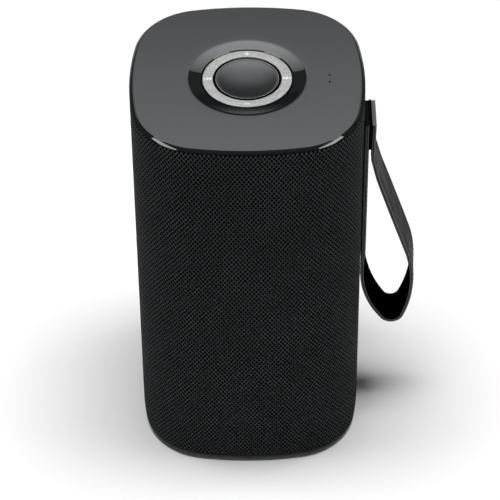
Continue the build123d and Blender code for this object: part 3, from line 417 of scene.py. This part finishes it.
# A light grey metal line for the button's groove: a painted highlight where the shoulder's edge catches the
# light, which also mirrors the lamps.
painted_glint_line = plain(
    "button_painted_glint", (0.50, 0.50, 0.50), roughness=0.4, grain_scale=2000.0, grain=0.1, metallic=0.6
)
icon_white = plain("icon_white", (0.72, 0.72, 0.71), roughness=0.45)
rubber = plain("flap_rubber", (0.012, 0.012, 0.0125), roughness=0.62, grain_scale=2200.0, grain=0.25)


# ---- Fabric sleeve ----
PORT_Z = 32.2 * MM  # middle of the opening behind, which the socket panel fills
PORT_HALF_WIDTH = 18.1 * MM
PORT_HALF_HEIGHT = 8.7 * MM
PORT_CORNER = 3.1 * MM
CLOTH = 0.8 * MM  # the fabric's thickness
CLOTH_EDGE = 0.3 * MM  # and at its upper edge, which stands up round the cover's wall
EDGE_LOW, EDGE_HIGH = RIM_Z - 0.1 * MM, RIM_Z + 0.4 * MM
EDGE_BEVEL = 0.12 * MM
HEM_LOW, HEM_HIGH = TRIM_Z + 0.05 * MM, TRIM_Z + 0.35 * MM  # the lower edge slopes in between these
HEM_BEVEL = 0.25 * MM
CLOTH_LEVELS = 60


def cut(target, cutter):
    """Cuts one closed mesh out of another, and removes the cutter."""
    change = target.modifiers.new("cut", "BOOLEAN")
    change.object = cutter
    change.solver = "EXACT"
    bpy.context.view_layer.objects.active = target
    bpy.ops.object.modifier_apply(modifier=change.name)
    bpy.data.objects.remove(cutter)


def port_cutter():
    """A rounded block standing in the sleeve's opening at the back."""
    outline = []
    for quarter, (side, rise) in enumerate(((1, 1), (-1, 1), (-1, -1), (1, -1))):
        centre = (side * (PORT_HALF_WIDTH - PORT_CORNER), PORT_Z + rise * (PORT_HALF_HEIGHT - PORT_CORNER))
        outline += arc(centre, PORT_CORNER, 90 * quarter, 90 * quarter + 90, 6)
    depths = (HALF_WIDTH - 4 * MM, HALF_WIDTH + 2 * MM)  # from inside the cloth to outside it
    rings = [[Vector((x, y, z)) for x, z in outline] for y in depths]
    return sharpen(loft("port_cutter", rings, None, None, caps=(True, True)), 40)


def fabric():
    """The mesh sleeve, a stretched sheet with its opening behind."""
    inside = plan_ring(CLOTH_EDGE, EDGE_HIGH)
    rings = [inside, plan_ring(CLOTH_EDGE, EDGE_LOW), plan_ring(CLOTH, EDGE_LOW)]
    rings += [plan_ring(CLOTH, HEM_LOW), plan_ring(HEM_BEVEL, HEM_LOW), plan_ring(0, HEM_HIGH)]
    height = EDGE_HIGH - TRIM_Z
    for level in range(1, CLOTH_LEVELS):
        rings.append(plan_ring(0, TRIM_Z + height * level / CLOTH_LEVELS))
    rings += [plan_ring(0, EDGE_HIGH - EDGE_BEVEL), plan_ring(EDGE_BEVEL, EDGE_HIGH), inside]
    made = loft("sleeve_fabric", rings, weave, "housing")
    # The last ring is the first one again, so welding them closes the mesh.
    bm = bmesh.new()
    bm.from_mesh(made.data)
    bmesh.ops.remove_doubles(bm, verts=bm.verts, dist=1e-6)
    bmesh.ops.recalc_face_normals(bm, faces=bm.faces)
    bm.to_mesh(made.data)
    bm.free()
    cut(made, port_cutter())
    sharpen(made, 60)
    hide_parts("fabric_sleeve")


fabric()

# ---- Top cover ----
COVER_INSET = 0.4 * MM  # inside the fabric's outline
WALL_LOW = RIM_Z + 0.02 * MM
WALL_BEVEL = 0.12 * MM
BEZEL = 1.0 * MM  # width of the bezel, a slope round the plate that flashes where it mirrors a lamp
BEZEL_Z = TOP_Z - BEZEL - 0.1 * MM
BEZEL_LOW, BEZEL_HIGH = 41, 50  # the slope of its surface, in degrees, at its foot and its head
BEZEL_STEPS = 8
GROOVE_INSET = COVER_INSET + BEZEL + 0.12 * MM
# The groove between bezel and plate, as (inwards, down) in millimetres.
GROOVE = ((0.0, 0.14), (0.03, 0.45), (0.24, 0.45), (0.27, 0.08), (0.36, 0.0))
LIP = 0.9 * MM  # half the width of the rounding at the dish's edge
WELL_SOFT = 0.2 * MM
WELL_DEPTH = 2.6 * MM
SPHERE = (DISH_RADIUS**2 + DISH_DEPTH**2) / (2 * DISH_DEPTH)


def dish_height(radius):
    """Height of the dish's surface at that radius."""
    return TOP_Z - DISH_DEPTH + SPHERE - math.sqrt(SPHERE**2 - radius**2)


def cover_wall():
    """The cover's dark, dull upright wall, inside the fabric's edge."""
    rings = [plan_ring(COVER_INSET + 0.9 * MM, WALL_LOW), plan_ring(COVER_INSET + WALL_BEVEL, WALL_LOW)]
    rings += [plan_ring(COVER_INSET, WALL_LOW + WALL_BEVEL), plan_ring(COVER_INSET, BEZEL_Z)]
    sharpen(loft("cover_wall", rings, wall_plastic, "housing"), 60)


def bezel_rings():
    """The slope up from the wall: an arc between its two angles."""
    low, high = math.radians(BEZEL_LOW), math.radians(BEZEL_HIGH)
    bulge = BEZEL / (math.cos(low) - math.cos(high))
    first = Vector((math.cos(low), math.sin(low))) * bulge
    rings = []
    for step in range(BEZEL_STEPS + 1):
        turn = math.radians(BEZEL_LOW + (BEZEL_HIGH - BEZEL_LOW) * step / BEZEL_STEPS)
        run = first - Vector((math.cos(turn), math.sin(turn))) * bulge
        rings.append(plan_ring(COVER_INSET + run.x, BEZEL_Z - run.y))
    return rings


def cover():
    """Gloss top: bezel, fine groove, flat plate, the dish with its soft lip, and the ring's well."""
    cover_wall()
    rings = bezel_rings()
    for inwards, down in GROOVE:
        rings.append(plan_ring(GROOVE_INSET + inwards * MM, TOP_Z - down * MM))
    # The plate goes over from the rounded square to the dish's circle.
    plan = rings[-1]
    circle = round_ring(DISH_RADIUS + LIP, TOP_Z)
    for step in range(1, 7):
        rings.append([p.lerp(c, step / 6) for p, c in zip(plan, circle)])
    # The lip blends the flat into the dish's slope.
    slope_end = DISH_RADIUS - LIP
    for step in range(1, 8):
        share = step / 8
        drop = (TOP_Z - dish_height(slope_end)) * share * share
        rings.append(round_ring(DISH_RADIUS + LIP - 2 * LIP * share, TOP_Z - drop))
    for step in range(13):
        radius = slope_end + (WELL_RADIUS + WELL_SOFT - slope_end) * step / 12
        rings.append(round_ring(radius, dish_height(radius)))
    well_top = dish_height(WELL_RADIUS)
    rings += [round_ring(WELL_RADIUS, well_top - WELL_SOFT), round_ring(WELL_RADIUS, well_top - WELL_DEPTH)]
    made = sharpen(loft("cover_top", rings, gloss, "housing"), 40)
    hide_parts("top_cover")
    return made


PIN_HOLE = 0.5 * MM
MIC_PLACE = Vector((36.5, 1.0, 0)) * MM
LIGHT_PLACE = Vector((36.5, -3.8, 0)) * MM


def pin_holes(plate):
    """The microphone's and the light's pin-holes, cut through the plate."""
    for place in (MIC_PLACE, LIGHT_PLACE):
        bpy.ops.mesh.primitive_cylinder_add(
            vertices=24, radius=PIN_HOLE, depth=2.0 * MM, location=(place.x, place.y, TOP_Z - 0.3 * MM)
        )
        cutter = bpy.context.object
        # The holes' walls take the near-black as painted shade.
        cutter.data.materials.append(painted_shade_black)
        cut(plate, cutter)


pin_holes(cover())

# ---- Ring with its four marks ----
RING_OUTER = 20.2 * MM
RING_INNER = 15.2 * MM
FACE_OUTER, FACE_INNER = RING_OUTER - 0.3 * MM, RING_INNER + 0.12 * MM
FACE_SOFT = 0.15 * MM
FACE_Z = RING_Z - 0.4 * MM  # the silver face's foot
SHOULDER_Z = RING_Z - 0.25 * MM  # the top of the ring's body, painted near-black as shade
RING_FOOT_Z = RING_Z - 1.0 * MM


def control_ring():
    """The ring: a silver face with softly rounded edges, let into a body painted near-black as the shade of
    the gap round it.
    """
    profile = [(FACE_OUTER, FACE_Z)]
    profile += arc((FACE_OUTER - FACE_SOFT, RING_Z - FACE_SOFT), FACE_SOFT, 0, 90, 5)
    profile += arc((FACE_INNER + FACE_SOFT, RING_Z - FACE_SOFT), FACE_SOFT, 90, 180, 5)
    profile.append((FACE_INNER, FACE_Z))
    face = turned("ring_top", profile, silver, "control_ring")
    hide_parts("nav_ring")
    profile = [(RING_OUTER - 1.5 * MM, RING_FOOT_Z), (RING_OUTER, RING_FOOT_Z)]
    profile += [(RING_OUTER, SHOULDER_Z), (FACE_OUTER - 0.1 * MM, SHOULDER_Z)]
    turned("ring_rim_outer", profile, painted_shade_black, "control_ring")
    profile = [(FACE_INNER + 0.1 * MM, SHOULDER_Z), (RING_INNER, SHOULDER_Z)]
    profile += [(RING_INNER, RING_FOOT_Z), (RING_INNER + 1.5 * MM, RING_FOOT_Z)]
    turned("ring_rim_inner", profile, painted_shade_black, "control_ring")


control_ring()


def bar(x0, y0, x1, y1):
    """A rectangle's outline."""
    return [(x0, y0), (x1, y0), (x1, y1), (x0, y1)]


# The marks' outlines are in millimetres, before they are scaled.
MARK_SCALE = 1.15
MARK_THICK = 0.03 * MM
MARK_STEP = 0.02 * MM  # how far a mark stands above the one it crosses
STROKE = bar(-1.1, -0.18, 1.1, 0.18)
ARROW = [(-1.0, -0.85), (0.25, 0), (-1.0, 0.85)]
STOP = bar(0.3, -0.85, 0.6, 0.85)


def flat_mark(name, outline, place, turn, z):
    """A thin printed mark: an outline in millimetres, turned and set down at a place on the ring."""
    spin = Matrix.Rotation(turn, 2)
    rings = []
    for lift in (0.0, MARK_THICK):
        ring = []
        for x, y in outline:
            p = spin @ Vector((x * MM, y * MM)) * MARK_SCALE + place
            ring.append(Vector((p.x, p.y, z + lift)))
        rings.append(ring)
    made = loft(name, rings, icon_white, "control_ring", caps=(True, True), smooth=False)


def ring_marks():
    """Generic marks at the ring's four sides: plus, minus, next and previous."""
    middle = (RING_OUTER + RING_INNER) / 2
    z = RING_Z + 0.01 * MM
    rear, front = Vector((0, middle)), Vector((0, -middle))
    right, left = Vector((middle, 0)), Vector((-middle, 0))
    upright = [(-y, x) for x, y in STROKE]
    flat_mark("mark_plus_a", STROKE, rear, 0, z)
    flat_mark("mark_plus_b", upright, rear, 0, z + MARK_STEP)
    flat_mark("mark_minus", STROKE, front, 0, z)
    for name, at, turn in (("next", right, 0), ("back", left, math.pi)):
        step = Vector((1.2 * MM, 0)) * (MARK_SCALE if turn == 0 else -MARK_SCALE)
        flat_mark(f"mark_{name}_a", ARROW, at - step * 0.5, turn, z)
        flat_mark(f"mark_{name}_b", ARROW, at + step * 0.5, turn, z)
        flat_mark(f"mark_{name}_c", STOP, at + step * 0.6, turn, z + MARK_STEP)


ring_marks()

# ---- Button ----
BUTTON_RADIUS = 14.5 * MM
BUTTON_HOLLOW = 0.8 * MM
SHOULDER_BEVEL = 0.42 * MM
BUTTON_GROOVE = 0.28 * MM  # width of the groove inside the shoulder
GROOVE_FLOOR_Z = BUTTON_Z - 0.35 * MM
LINE_RADIUS = 0.09 * MM


def button():
    """The hollowed button inside its shoulder, which is painted near-black as shade, with a fine bright
    line in the groove between them, a painted highlight.
    """
    rim = BUTTON_RADIUS - SHOULDER_BEVEL - BUTTON_GROOVE
    profile = [(BUTTON_RADIUS, BUTTON_Z - 1.6 * MM)]
    profile += arc((BUTTON_RADIUS - SHOULDER_BEVEL, BUTTON_Z - SHOULDER_BEVEL), SHOULDER_BEVEL, 0, 90, 6)
    profile += [(rim + BUTTON_GROOVE - 0.02 * MM, GROOVE_FLOOR_Z), (rim, GROOVE_FLOOR_Z)]
    turned("button_shoulder", profile, painted_shade_black, "button")
    sphere = (rim**2 + BUTTON_HOLLOW**2) / (2 * BUTTON_HOLLOW)
    profile = [(rim, GROOVE_FLOOR_Z), (rim - 0.02 * MM, BUTTON_Z - 0.06 * MM)]
    for step in range(1, 25):
        radius = rim * (1 - step / 24)
        profile.append((radius, BUTTON_Z - BUTTON_HOLLOW + sphere - math.sqrt(sphere**2 - radius**2)))
    made = turned("button_top", profile, satin, "button")
    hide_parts("centre_button")
    # The bright line is a painted highlight for the shoulder's edge.
    line = arc((rim + BUTTON_GROOVE - 0.1 * MM, BUTTON_Z - LINE_RADIUS), LINE_RADIUS, -20, 200, 8)
    turned("button_line", line, painted_glint_line, "button")


button()

# ---- Base trim ----
ROUND_UNDER = 2.4 * MM
BAND_TOP_Z = TRIM_Z - 0.02 * MM


def base_trim():
    """The smooth band under the fabric, rounded under. The foot covers the middle of the underside."""
    rings = [plan_ring(8 * MM, BASE_Z), plan_ring(ROUND_UNDER, BASE_Z)]
    for step in range(1, 9):
        turn = math.radians(90 * step / 8)
        height = BASE_Z + ROUND_UNDER * (1 - math.cos(turn))
        rings.append(plan_ring(ROUND_UNDER * (1 - math.sin(turn)), height))
    rings += [plan_ring(0, TRIM_Z - 0.1 * MM), plan_ring(0.15 * MM, BAND_TOP_Z)]
    rings.append(plan_ring(1.2 * MM, BAND_TOP_Z))
    made = sharpen(loft("base_band", rings, base_plastic, "housing"), 40)
    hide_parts("base_tray")


base_trim()

# ---- Hand strap ----
STRAP_HALF = (LOOP_HIGH.y - LOOP_LOW.y) / 2
LEATHER = TAB_HIGH.x - TAB_LOW.x
RUN_IN = (INNER_LOW.x + INNER_HIGH.x) / 2
RUN_OUT = (TAB_LOW.x + TAB_HIGH.x) / 2
STRIP_END = TAB_HIGH.z - 0.2 * MM
STITCH_INSET = 2.0 * MM  # from the strip's edge to the row of stitches
STITCH_DIP, STITCH_DIP_REACH = 0.12 * MM, 0.6 * MM  # the leather dips along each row


def filleted(points, radii, step):
    """Points along straight runs joined by arcs, no further apart than step."""
    line = [points[0]]
    for before, corner, after, radius in zip(points, points[1:], points[2:], radii):
        into = (corner - before).normalized()
        away = (after - corner).normalized()
        turn = into.angle_signed(away)
        reach = radius * math.tan(abs(turn) / 2)
        start = corner - into * reach
        sign = 1 if into.cross(away) > 0 else -1
        centre = start + sign * radius * Vector((-into.y, into.x))
        count = max(3, int(radius * abs(turn) / step) + 1)
        gap = (start - line[-1]).length
        runs = max(1, int(gap / step))
        line += [line[-1].lerp(start, i / runs) for i in range(1, runs + 1)]
        spoke = start - centre
        for i in range(1, count + 1):
            line.append(centre + Matrix.Rotation(sign * abs(turn) * i / count, 2) @ spoke)
    gap = (points[-1] - line[-1]).length
    runs = max(1, int(gap / step))
    line += [line[-1].lerp(points[-1], i / runs) for i in range(1, runs + 1)]
    return line


# The middle of the leather as (x, z): down the tab's outer layer, round the loop and up the inner layer.
STRAP_LINE = filleted(
    [
        Vector((RUN_OUT, STRIP_END)),
        Vector((RUN_OUT, 152.3 * MM)),
        Vector((59.8, 140.0)) * MM,
        Vector((80.9, 75.4)) * MM,
        Vector((69.1, 45.5)) * MM,
        Vector((RUN_IN, 67.5 * MM)),
        Vector((RUN_IN, STRIP_END)),
    ],
    radii=[8 * MM, 116 * MM, 63 * MM, 5 * MM, 54 * MM],
    step=0.8 * MM,
)


def strap_frames():
    """Each point of the strap's line with its outward normal and its distance along."""
    frames = []
    travelled = 0.0
    for i, point in enumerate(STRAP_LINE):
        before = STRAP_LINE[max(i - 1, 0)]
        after = STRAP_LINE[min(i + 1, len(STRAP_LINE) - 1)]
        along = (after - before).normalized()
        if i:
            travelled += (point - STRAP_LINE[i - 1]).length
        frames.append((point, Vector((-along.y, along.x)), travelled))
    return frames


def strap_section():
    """The strip's cross-section as (across, outwards, material): leather face, cut edges and lining."""
    half = LEATHER / 2
    soft = 0.25 * MM
    stitch_line = STRAP_HALF - STITCH_INSET
    section = []
    steps = 18
    for i in range(steps + 1):
        y = -STRAP_HALF + soft + (2 * STRAP_HALF - 2 * soft) * i / steps
        dip = STITCH_DIP if abs(abs(y) - stitch_line) < STITCH_DIP_REACH else 0.0
        section.append((y, half - dip, 0))
    # Each cut edge shows the leather, a dark glue line and the lining's own pale edge.
    low, high = -0.25 * half, 0.15 * half
    section += [(STRAP_HALF, half - soft, 1), (STRAP_HALF, high, 2), (STRAP_HALF, low, 1)]
    section += [(STRAP_HALF, soft - half, 2), (STRAP_HALF - soft, -half, 2), (soft - STRAP_HALF, -half, 2)]
    section += [(-STRAP_HALF, soft - half, 1), (-STRAP_HALF, low, 2), (-STRAP_HALF, high, 1)]
    section.append((-STRAP_HALF, half - soft, 1))
    return section


STRAP_TWIST = 0.08  # in radians, at most
LOOP_FOOT = 125 * MM  # from the strip's start to the foot of its loop
LOOP_RETURN = 52 * MM  # on from there, to where the strip lies flat along the side again


def twist(travelled):
    """The strip's lean in radians: rear edge out as it hangs, and front edge out past the loop's foot."""
    if travelled < LOOP_FOOT:
        return STRAP_TWIST * math.sin(math.pi * travelled / LOOP_FOOT)
    return -STRAP_TWIST * math.sin(math.pi * min((travelled - LOOP_FOOT) / LOOP_RETURN, 1.0))


def strap_ribbon():
    """The leather strip, lined, running from one layer of the tab round the loop to the other."""
    section = strap_section()
    count = len(section)
    frames = strap_frames()
    rings = []
    for point, normal, travelled in frames:
        ring = []
        for y, out, _ in section:
            at = point + normal * (out + y * twist(travelled))
            ring.append(Vector((at.x, y, at.y)))
        rings.append(ring)
    made = loft("strap_strip", rings, None, None, caps=(True, True))
    mesh = made.data
    for material in (leather, edge_paint, lining):
        mesh.materials.append(material)
    kinds = [kind for _, _, kind in section]
    for i, polygon in enumerate(mesh.polygons):
        polygon.material_index = kinds[i % count]
    # The strip's two ends, at the top of the tab.
    mesh.polygons[-2].material_index = 1
    mesh.polygons[-1].material_index = 0
    sharpen(made, 50)
    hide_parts("strap_loop", "tab_inner", "tab_outer")
    bend_with_loop(made)


def bend_with_loop(made):
    """Bakes a strap piece's placement into its mesh."""
    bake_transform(made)


def capsule_faces(bm, start, end, side, lift, radius):
    """A short thread from start to end, thickest in the middle and thin at its ends."""
    along = end - start
    stations = [(0.0, 0.25), (0.15, 0.8), (0.5, 1.0), (0.85, 0.8), (1.0, 0.25)]
    sides = 6
    rings = []
    for share, swell in stations:
        middle = start + along * share
        ring = []
        for i in range(sides):
            turn = 2 * math.pi * i / sides
            offset = side * (radius * swell * math.cos(turn)) + lift * (radius * swell * math.sin(turn))
            ring.append(bm.verts.new(middle + offset))
        rings.append(ring)
    for a, b in zip(rings, rings[1:]):
        for i in range(sides):
            j = (i + 1) % sides
            bm.faces.new((a[i], a[j], b[j], b[i]))
    bm.faces.new(rings[0][::-1])
    bm.faces.new(rings[-1])


STITCH_PITCH, STITCH_LENGTH = 3.0 * MM, 2.1 * MM
STITCH_START = 2.0 * MM  # from the strip's end to the first stitch
STITCH_SUNK = 0.06 * MM
THREAD_RADIUS = 0.26 * MM


def strap_stitching(name, face, material):
    """Two rows of stitches along one side of the strip: face is 1 for the leather and -1 for the lining."""
    bm = bmesh.new()
    frames = strap_frames()
    total = frames[-1][2]
    out = LEATHER / 2 - STITCH_SUNK

    def place(distance):
        """The strip's middle and its outward normal at that distance along."""
        for (p0, n0, d0), (p1, n1, d1) in zip(frames, frames[1:]):
            if d0 <= distance <= d1:
                share = (distance - d0) / (d1 - d0)
                return p0.lerp(p1, share), n0.lerp(n1, share).normalized()
        return frames[-1][0], frames[-1][1]

    side = Vector((0, 1, 0))
    for row in (-1, 1):
        across = row * (STRAP_HALF - STITCH_INSET)
        for i in range(int((total - 3 * MM) / STITCH_PITCH)):
            begin = STITCH_START + i * STITCH_PITCH
            points = []
            for distance in (begin, begin + STITCH_LENGTH):
                at, normal = place(distance)
                at = at + normal * (face * out + across * twist(distance))
                points.append(Vector((at.x, across, at.y)))
            lift = Vector((normal.x, 0, normal.y)) * face
            capsule_faces(bm, points[0], points[1], side, lift, THREAD_RADIUS)
    mesh = bpy.data.meshes.new(name)
    bm.to_mesh(mesh)
    bm.free()
    mesh.polygons.foreach_set("use_smooth", [True] * len(mesh.polygons))
    made = new_object(name, mesh, material, None)
    bend_with_loop(made)


strap_ribbon()
strap_stitching("leather_stitches", 1, thread)
strap_stitching("lining_stitches", -1, lining_thread)

# ---- Nodes that show their CAD shape ----
# How metallic and how rough each of the record's material classes is.
METALS = {"brushed_steel": 0.9, "aluminium": 0.9, "brass": 0.9, "cast_iron": 0.3}
ROUGHNESS = {
    "rubber": 0.62,
    "matte_plastic": 0.5,
    "gloss_plastic": 0.25,
    "glass": 0.15,
    "brushed_steel": 0.35,
    "aluminium": 0.38,
    "brass": 0.35,
    "cast_iron": 0.6,
    "painted_metal": 0.4,
}


def dress_cad_nodes():
    """Gives each CAD node its own finish from the record, with grain and patchy gloss."""
    slots = {entry["node"]: entry["material_slot"] for entry in frame["record"]["subparts"]}
    finishes = {entry["slot"]: entry for entry in frame["record"]["materials"]}
    special = {
        # The tab's core, black lining darkened further as painted shade, and the light pipe, painted
        # near-black as shade.
        "tab_core": painted_shade_black,
        "light_pipe": painted_shade_black,
        "socket_flap": rubber,
        "socket_panel": base_plastic,
    }
    for name, shown in frame["nodes"].items():
        finish = finishes[slots[name]]
        kind = finish["class"]
        material = special.get(name)
        if material is None:
            material = plain(
                f"finish_{name}",
                tuple(finish["base_color"][:3]),
                roughness=ROUGHNESS.get(kind, 0.5),
                grain_scale=1600.0,
                grain=0.15,
                metallic=METALS.get(kind, 0.0),
            )
        shown.data.materials.clear()
        shown.data.materials.append(material)


dress_cad_nodes()

# ---- Studio ----
FLOOR_REACH = 4.0  # from its middle to its edge, in metres
PANEL_DISTANCE = 5.0


def floor():
    """A plain pale floor."""
    made, tree, shader = new_material("studio_floor")
    shader.inputs["Base Color"].default_value = (0.9, 0.9, 0.9, 1)
    shader.inputs["Specular IOR Level"].default_value = 0.0
    tree.links.new(ramp(tree, noise(tree, 3.0), [(0.0, 0.88), (1.0, 0.92)]), shader.inputs["Roughness"])
    mesh = bpy.data.meshes.new("floor")
    corners = [(x * FLOOR_REACH, y * FLOOR_REACH, 0) for x, y in ((-1, -1), (1, -1), (1, 1), (-1, 1))]
    mesh.from_pydata(corners, [], [(0, 1, 2, 3)])
    mesh.materials.append(made)
    plane = bpy.data.objects.new("floor", mesh)
    bpy.context.scene.collection.objects.link(plane)


def aim(holder, place, target):
    """Stands an object at place with its -Z pointing at target."""
    holder.location = place
    holder.rotation_euler = (Vector(target) - Vector(place)).to_track_quat("-Z", "Y").to_euler()


def area_light(name, place, target, width, height, power):
    """A rectangular soft light."""
    data = bpy.data.lights.new(name, "AREA")
    data.shape = "RECTANGLE"
    data.size = width
    data.size_y = height
    data.energy = power
    lamp = bpy.data.objects.new(name, data)
    bpy.context.scene.collection.objects.link(lamp)
    aim(lamp, place, target)
    return lamp


def gradient_panel(name, low_degrees, high_degrees, half_width, strength, stops):
    """A faintly cool panel behind, between two elevations seen from the gloss cover, which mirrors it.

    Its stops are (share of its height, grey level), from its foot up. It doesn't light dull surfaces.
    """
    made = bpy.data.materials.new(f"{name}_glow")
    made.use_nodes = True
    tree = made.node_tree
    tree.nodes.clear()
    place = tree.nodes.new("ShaderNodeTexCoord").outputs["Generated"]
    split = tree.nodes.new("ShaderNodeSeparateXYZ")
    tree.links.new(place, split.inputs[0])
    level = ramp(tree, split.outputs[1], [(at, (0.97 * grey, grey, 1.01 * grey)) for at, grey in stops])
    glow = node(tree, "ShaderNodeEmission", Strength=strength)
    tree.links.new(level, glow.inputs["Color"])
    out = tree.nodes.new("ShaderNodeOutputMaterial")
    tree.links.new(glow.outputs[0], out.inputs[0])
    low, high = math.radians(low_degrees), math.radians(high_degrees)
    top = Vector((0, 0, TOP_Z))
    foot = top + PANEL_DISTANCE * Vector((0, math.cos(low), math.sin(low)))
    head = top + PANEL_DISTANCE * Vector((0, math.cos(high), math.sin(high)))
    mesh = bpy.data.meshes.new(name)
    tall = (head - foot).length
    corners = [(-half_width, 0, 0), (half_width, 0, 0), (half_width, tall, 0), (-half_width, tall, 0)]
    mesh.from_pydata(corners, [], [(0, 1, 2, 3)])
    mesh.materials.append(made)
    panel = bpy.data.objects.new(name, mesh)
    panel.visible_diffuse = False
    bpy.context.scene.collection.objects.link(panel)
    up = (head - foot).normalized()
    out_of = Vector((1, 0, 0)).cross(up)
    panel.matrix_world = Matrix((
        (1, up.x, out_of.x, foot.x),
        (0, up.y, out_of.y, foot.y),
        (0, up.z, out_of.z, foot.z),
        (0, 0, 0, 1),
    ))


floor()
# The three panels stand one above the other, with a dark gap, so the dish mirrors bright and dark bands.
gradient_panel(
    "high_panel",
    low_degrees=41.0,
    high_degrees=64.0,
    half_width=1.1,
    strength=5.6,
    stops=[(0.0, 0.22), (0.4, 0.70), (0.7, 0.95), (1.0, 1.0)],
)
gradient_panel(
    "middle_panel",
    low_degrees=35.5,
    high_degrees=41.0,
    half_width=0.42,
    strength=2.0,
    stops=[(0.0, 0.31), (1.0, 1.10)],
)
gradient_panel(
    "low_panel",
    low_degrees=4.0,
    high_degrees=31.0,
    half_width=1.6,
    strength=0.75,
    stops=[(0.0, 1.0), (0.66, 1.0), (0.72, 0.3), (0.8, 0.0)],
)
# The two lamps overhead and the one in front light the scene, and the gloss cover doesn't mirror them.
front_key = area_light("front_key", (0, -1.9, 0.75), (0, 0, 0.1), width=0.8, height=0.5, power=3)
front_key.visible_glossy = False
for side in (-1, 1):
    overhead = area_light(
        f"overhead_{side + 1}", (0.38 * side, 0.04, 2.2), (0, 0, 0), width=0.52, height=0.8, power=28
    )
    overhead.visible_glossy = False
    # The bezel mirrors these two, which don't light dull surfaces.
    strip = area_light(
        f"strip_{side + 1}", (1.50 * side, -0.67, 1.4), (0, 0, 0.19), width=1.3, height=0.45, power=14
    )
    strip.visible_diffuse = False

world = bpy.data.worlds.new("studio")
bpy.context.scene.world = world
world.use_nodes = True
backdrop = world.node_tree.nodes["Background"]
backdrop.inputs["Color"].default_value = (1, 1, 1, 1)
backdrop.inputs["Strength"].default_value = 0.07
# White stays white, as on a studio's paper.
bpy.context.scene.view_settings.view_transform = "Standard"

# ---- Camera: angles in radians, distance from the body's middle in metres, lens in millimetres ----
ELEVATION = 0.7393
DISTANCE = 1.200
PITCH = 0.0046
PAN = 0.0006
ROLL = -0.0093
TURN = 0.0019
LENS = 184.2


def camera():
    """Looks down at the front from above, turned slightly to the right, with a long lens."""
    data = bpy.data.cameras.new("camera")
    data.sensor_width = 36
    data.lens = LENS
    data.clip_end = 20
    holder = bpy.data.objects.new("camera", data)
    bpy.context.scene.collection.objects.link(holder)
    spin = Matrix.Rotation(TURN, 3, "Z")
    centre = Vector((0, 0, TOP_Z / 2))
    place = centre + spin @ Vector((0, -DISTANCE * math.cos(ELEVATION), DISTANCE * math.sin(ELEVATION)))
    tilt = ELEVATION + PITCH
    ahead = spin @ Vector((math.sin(PAN) * math.cos(tilt), math.cos(PAN) * math.cos(tilt), -math.sin(tilt)))
    right = ahead.cross(Vector((0, 0, 1))).normalized()
    up = right.cross(ahead)
    x_axis = math.cos(ROLL) * right + math.sin(ROLL) * up
    y_axis = -math.sin(ROLL) * right + math.cos(ROLL) * up
    matrix = Matrix((x_axis, y_axis, -ahead)).transposed().to_4x4()
    matrix.translation = place
    holder.matrix_world = matrix
    bpy.context.scene.camera = holder


camera()
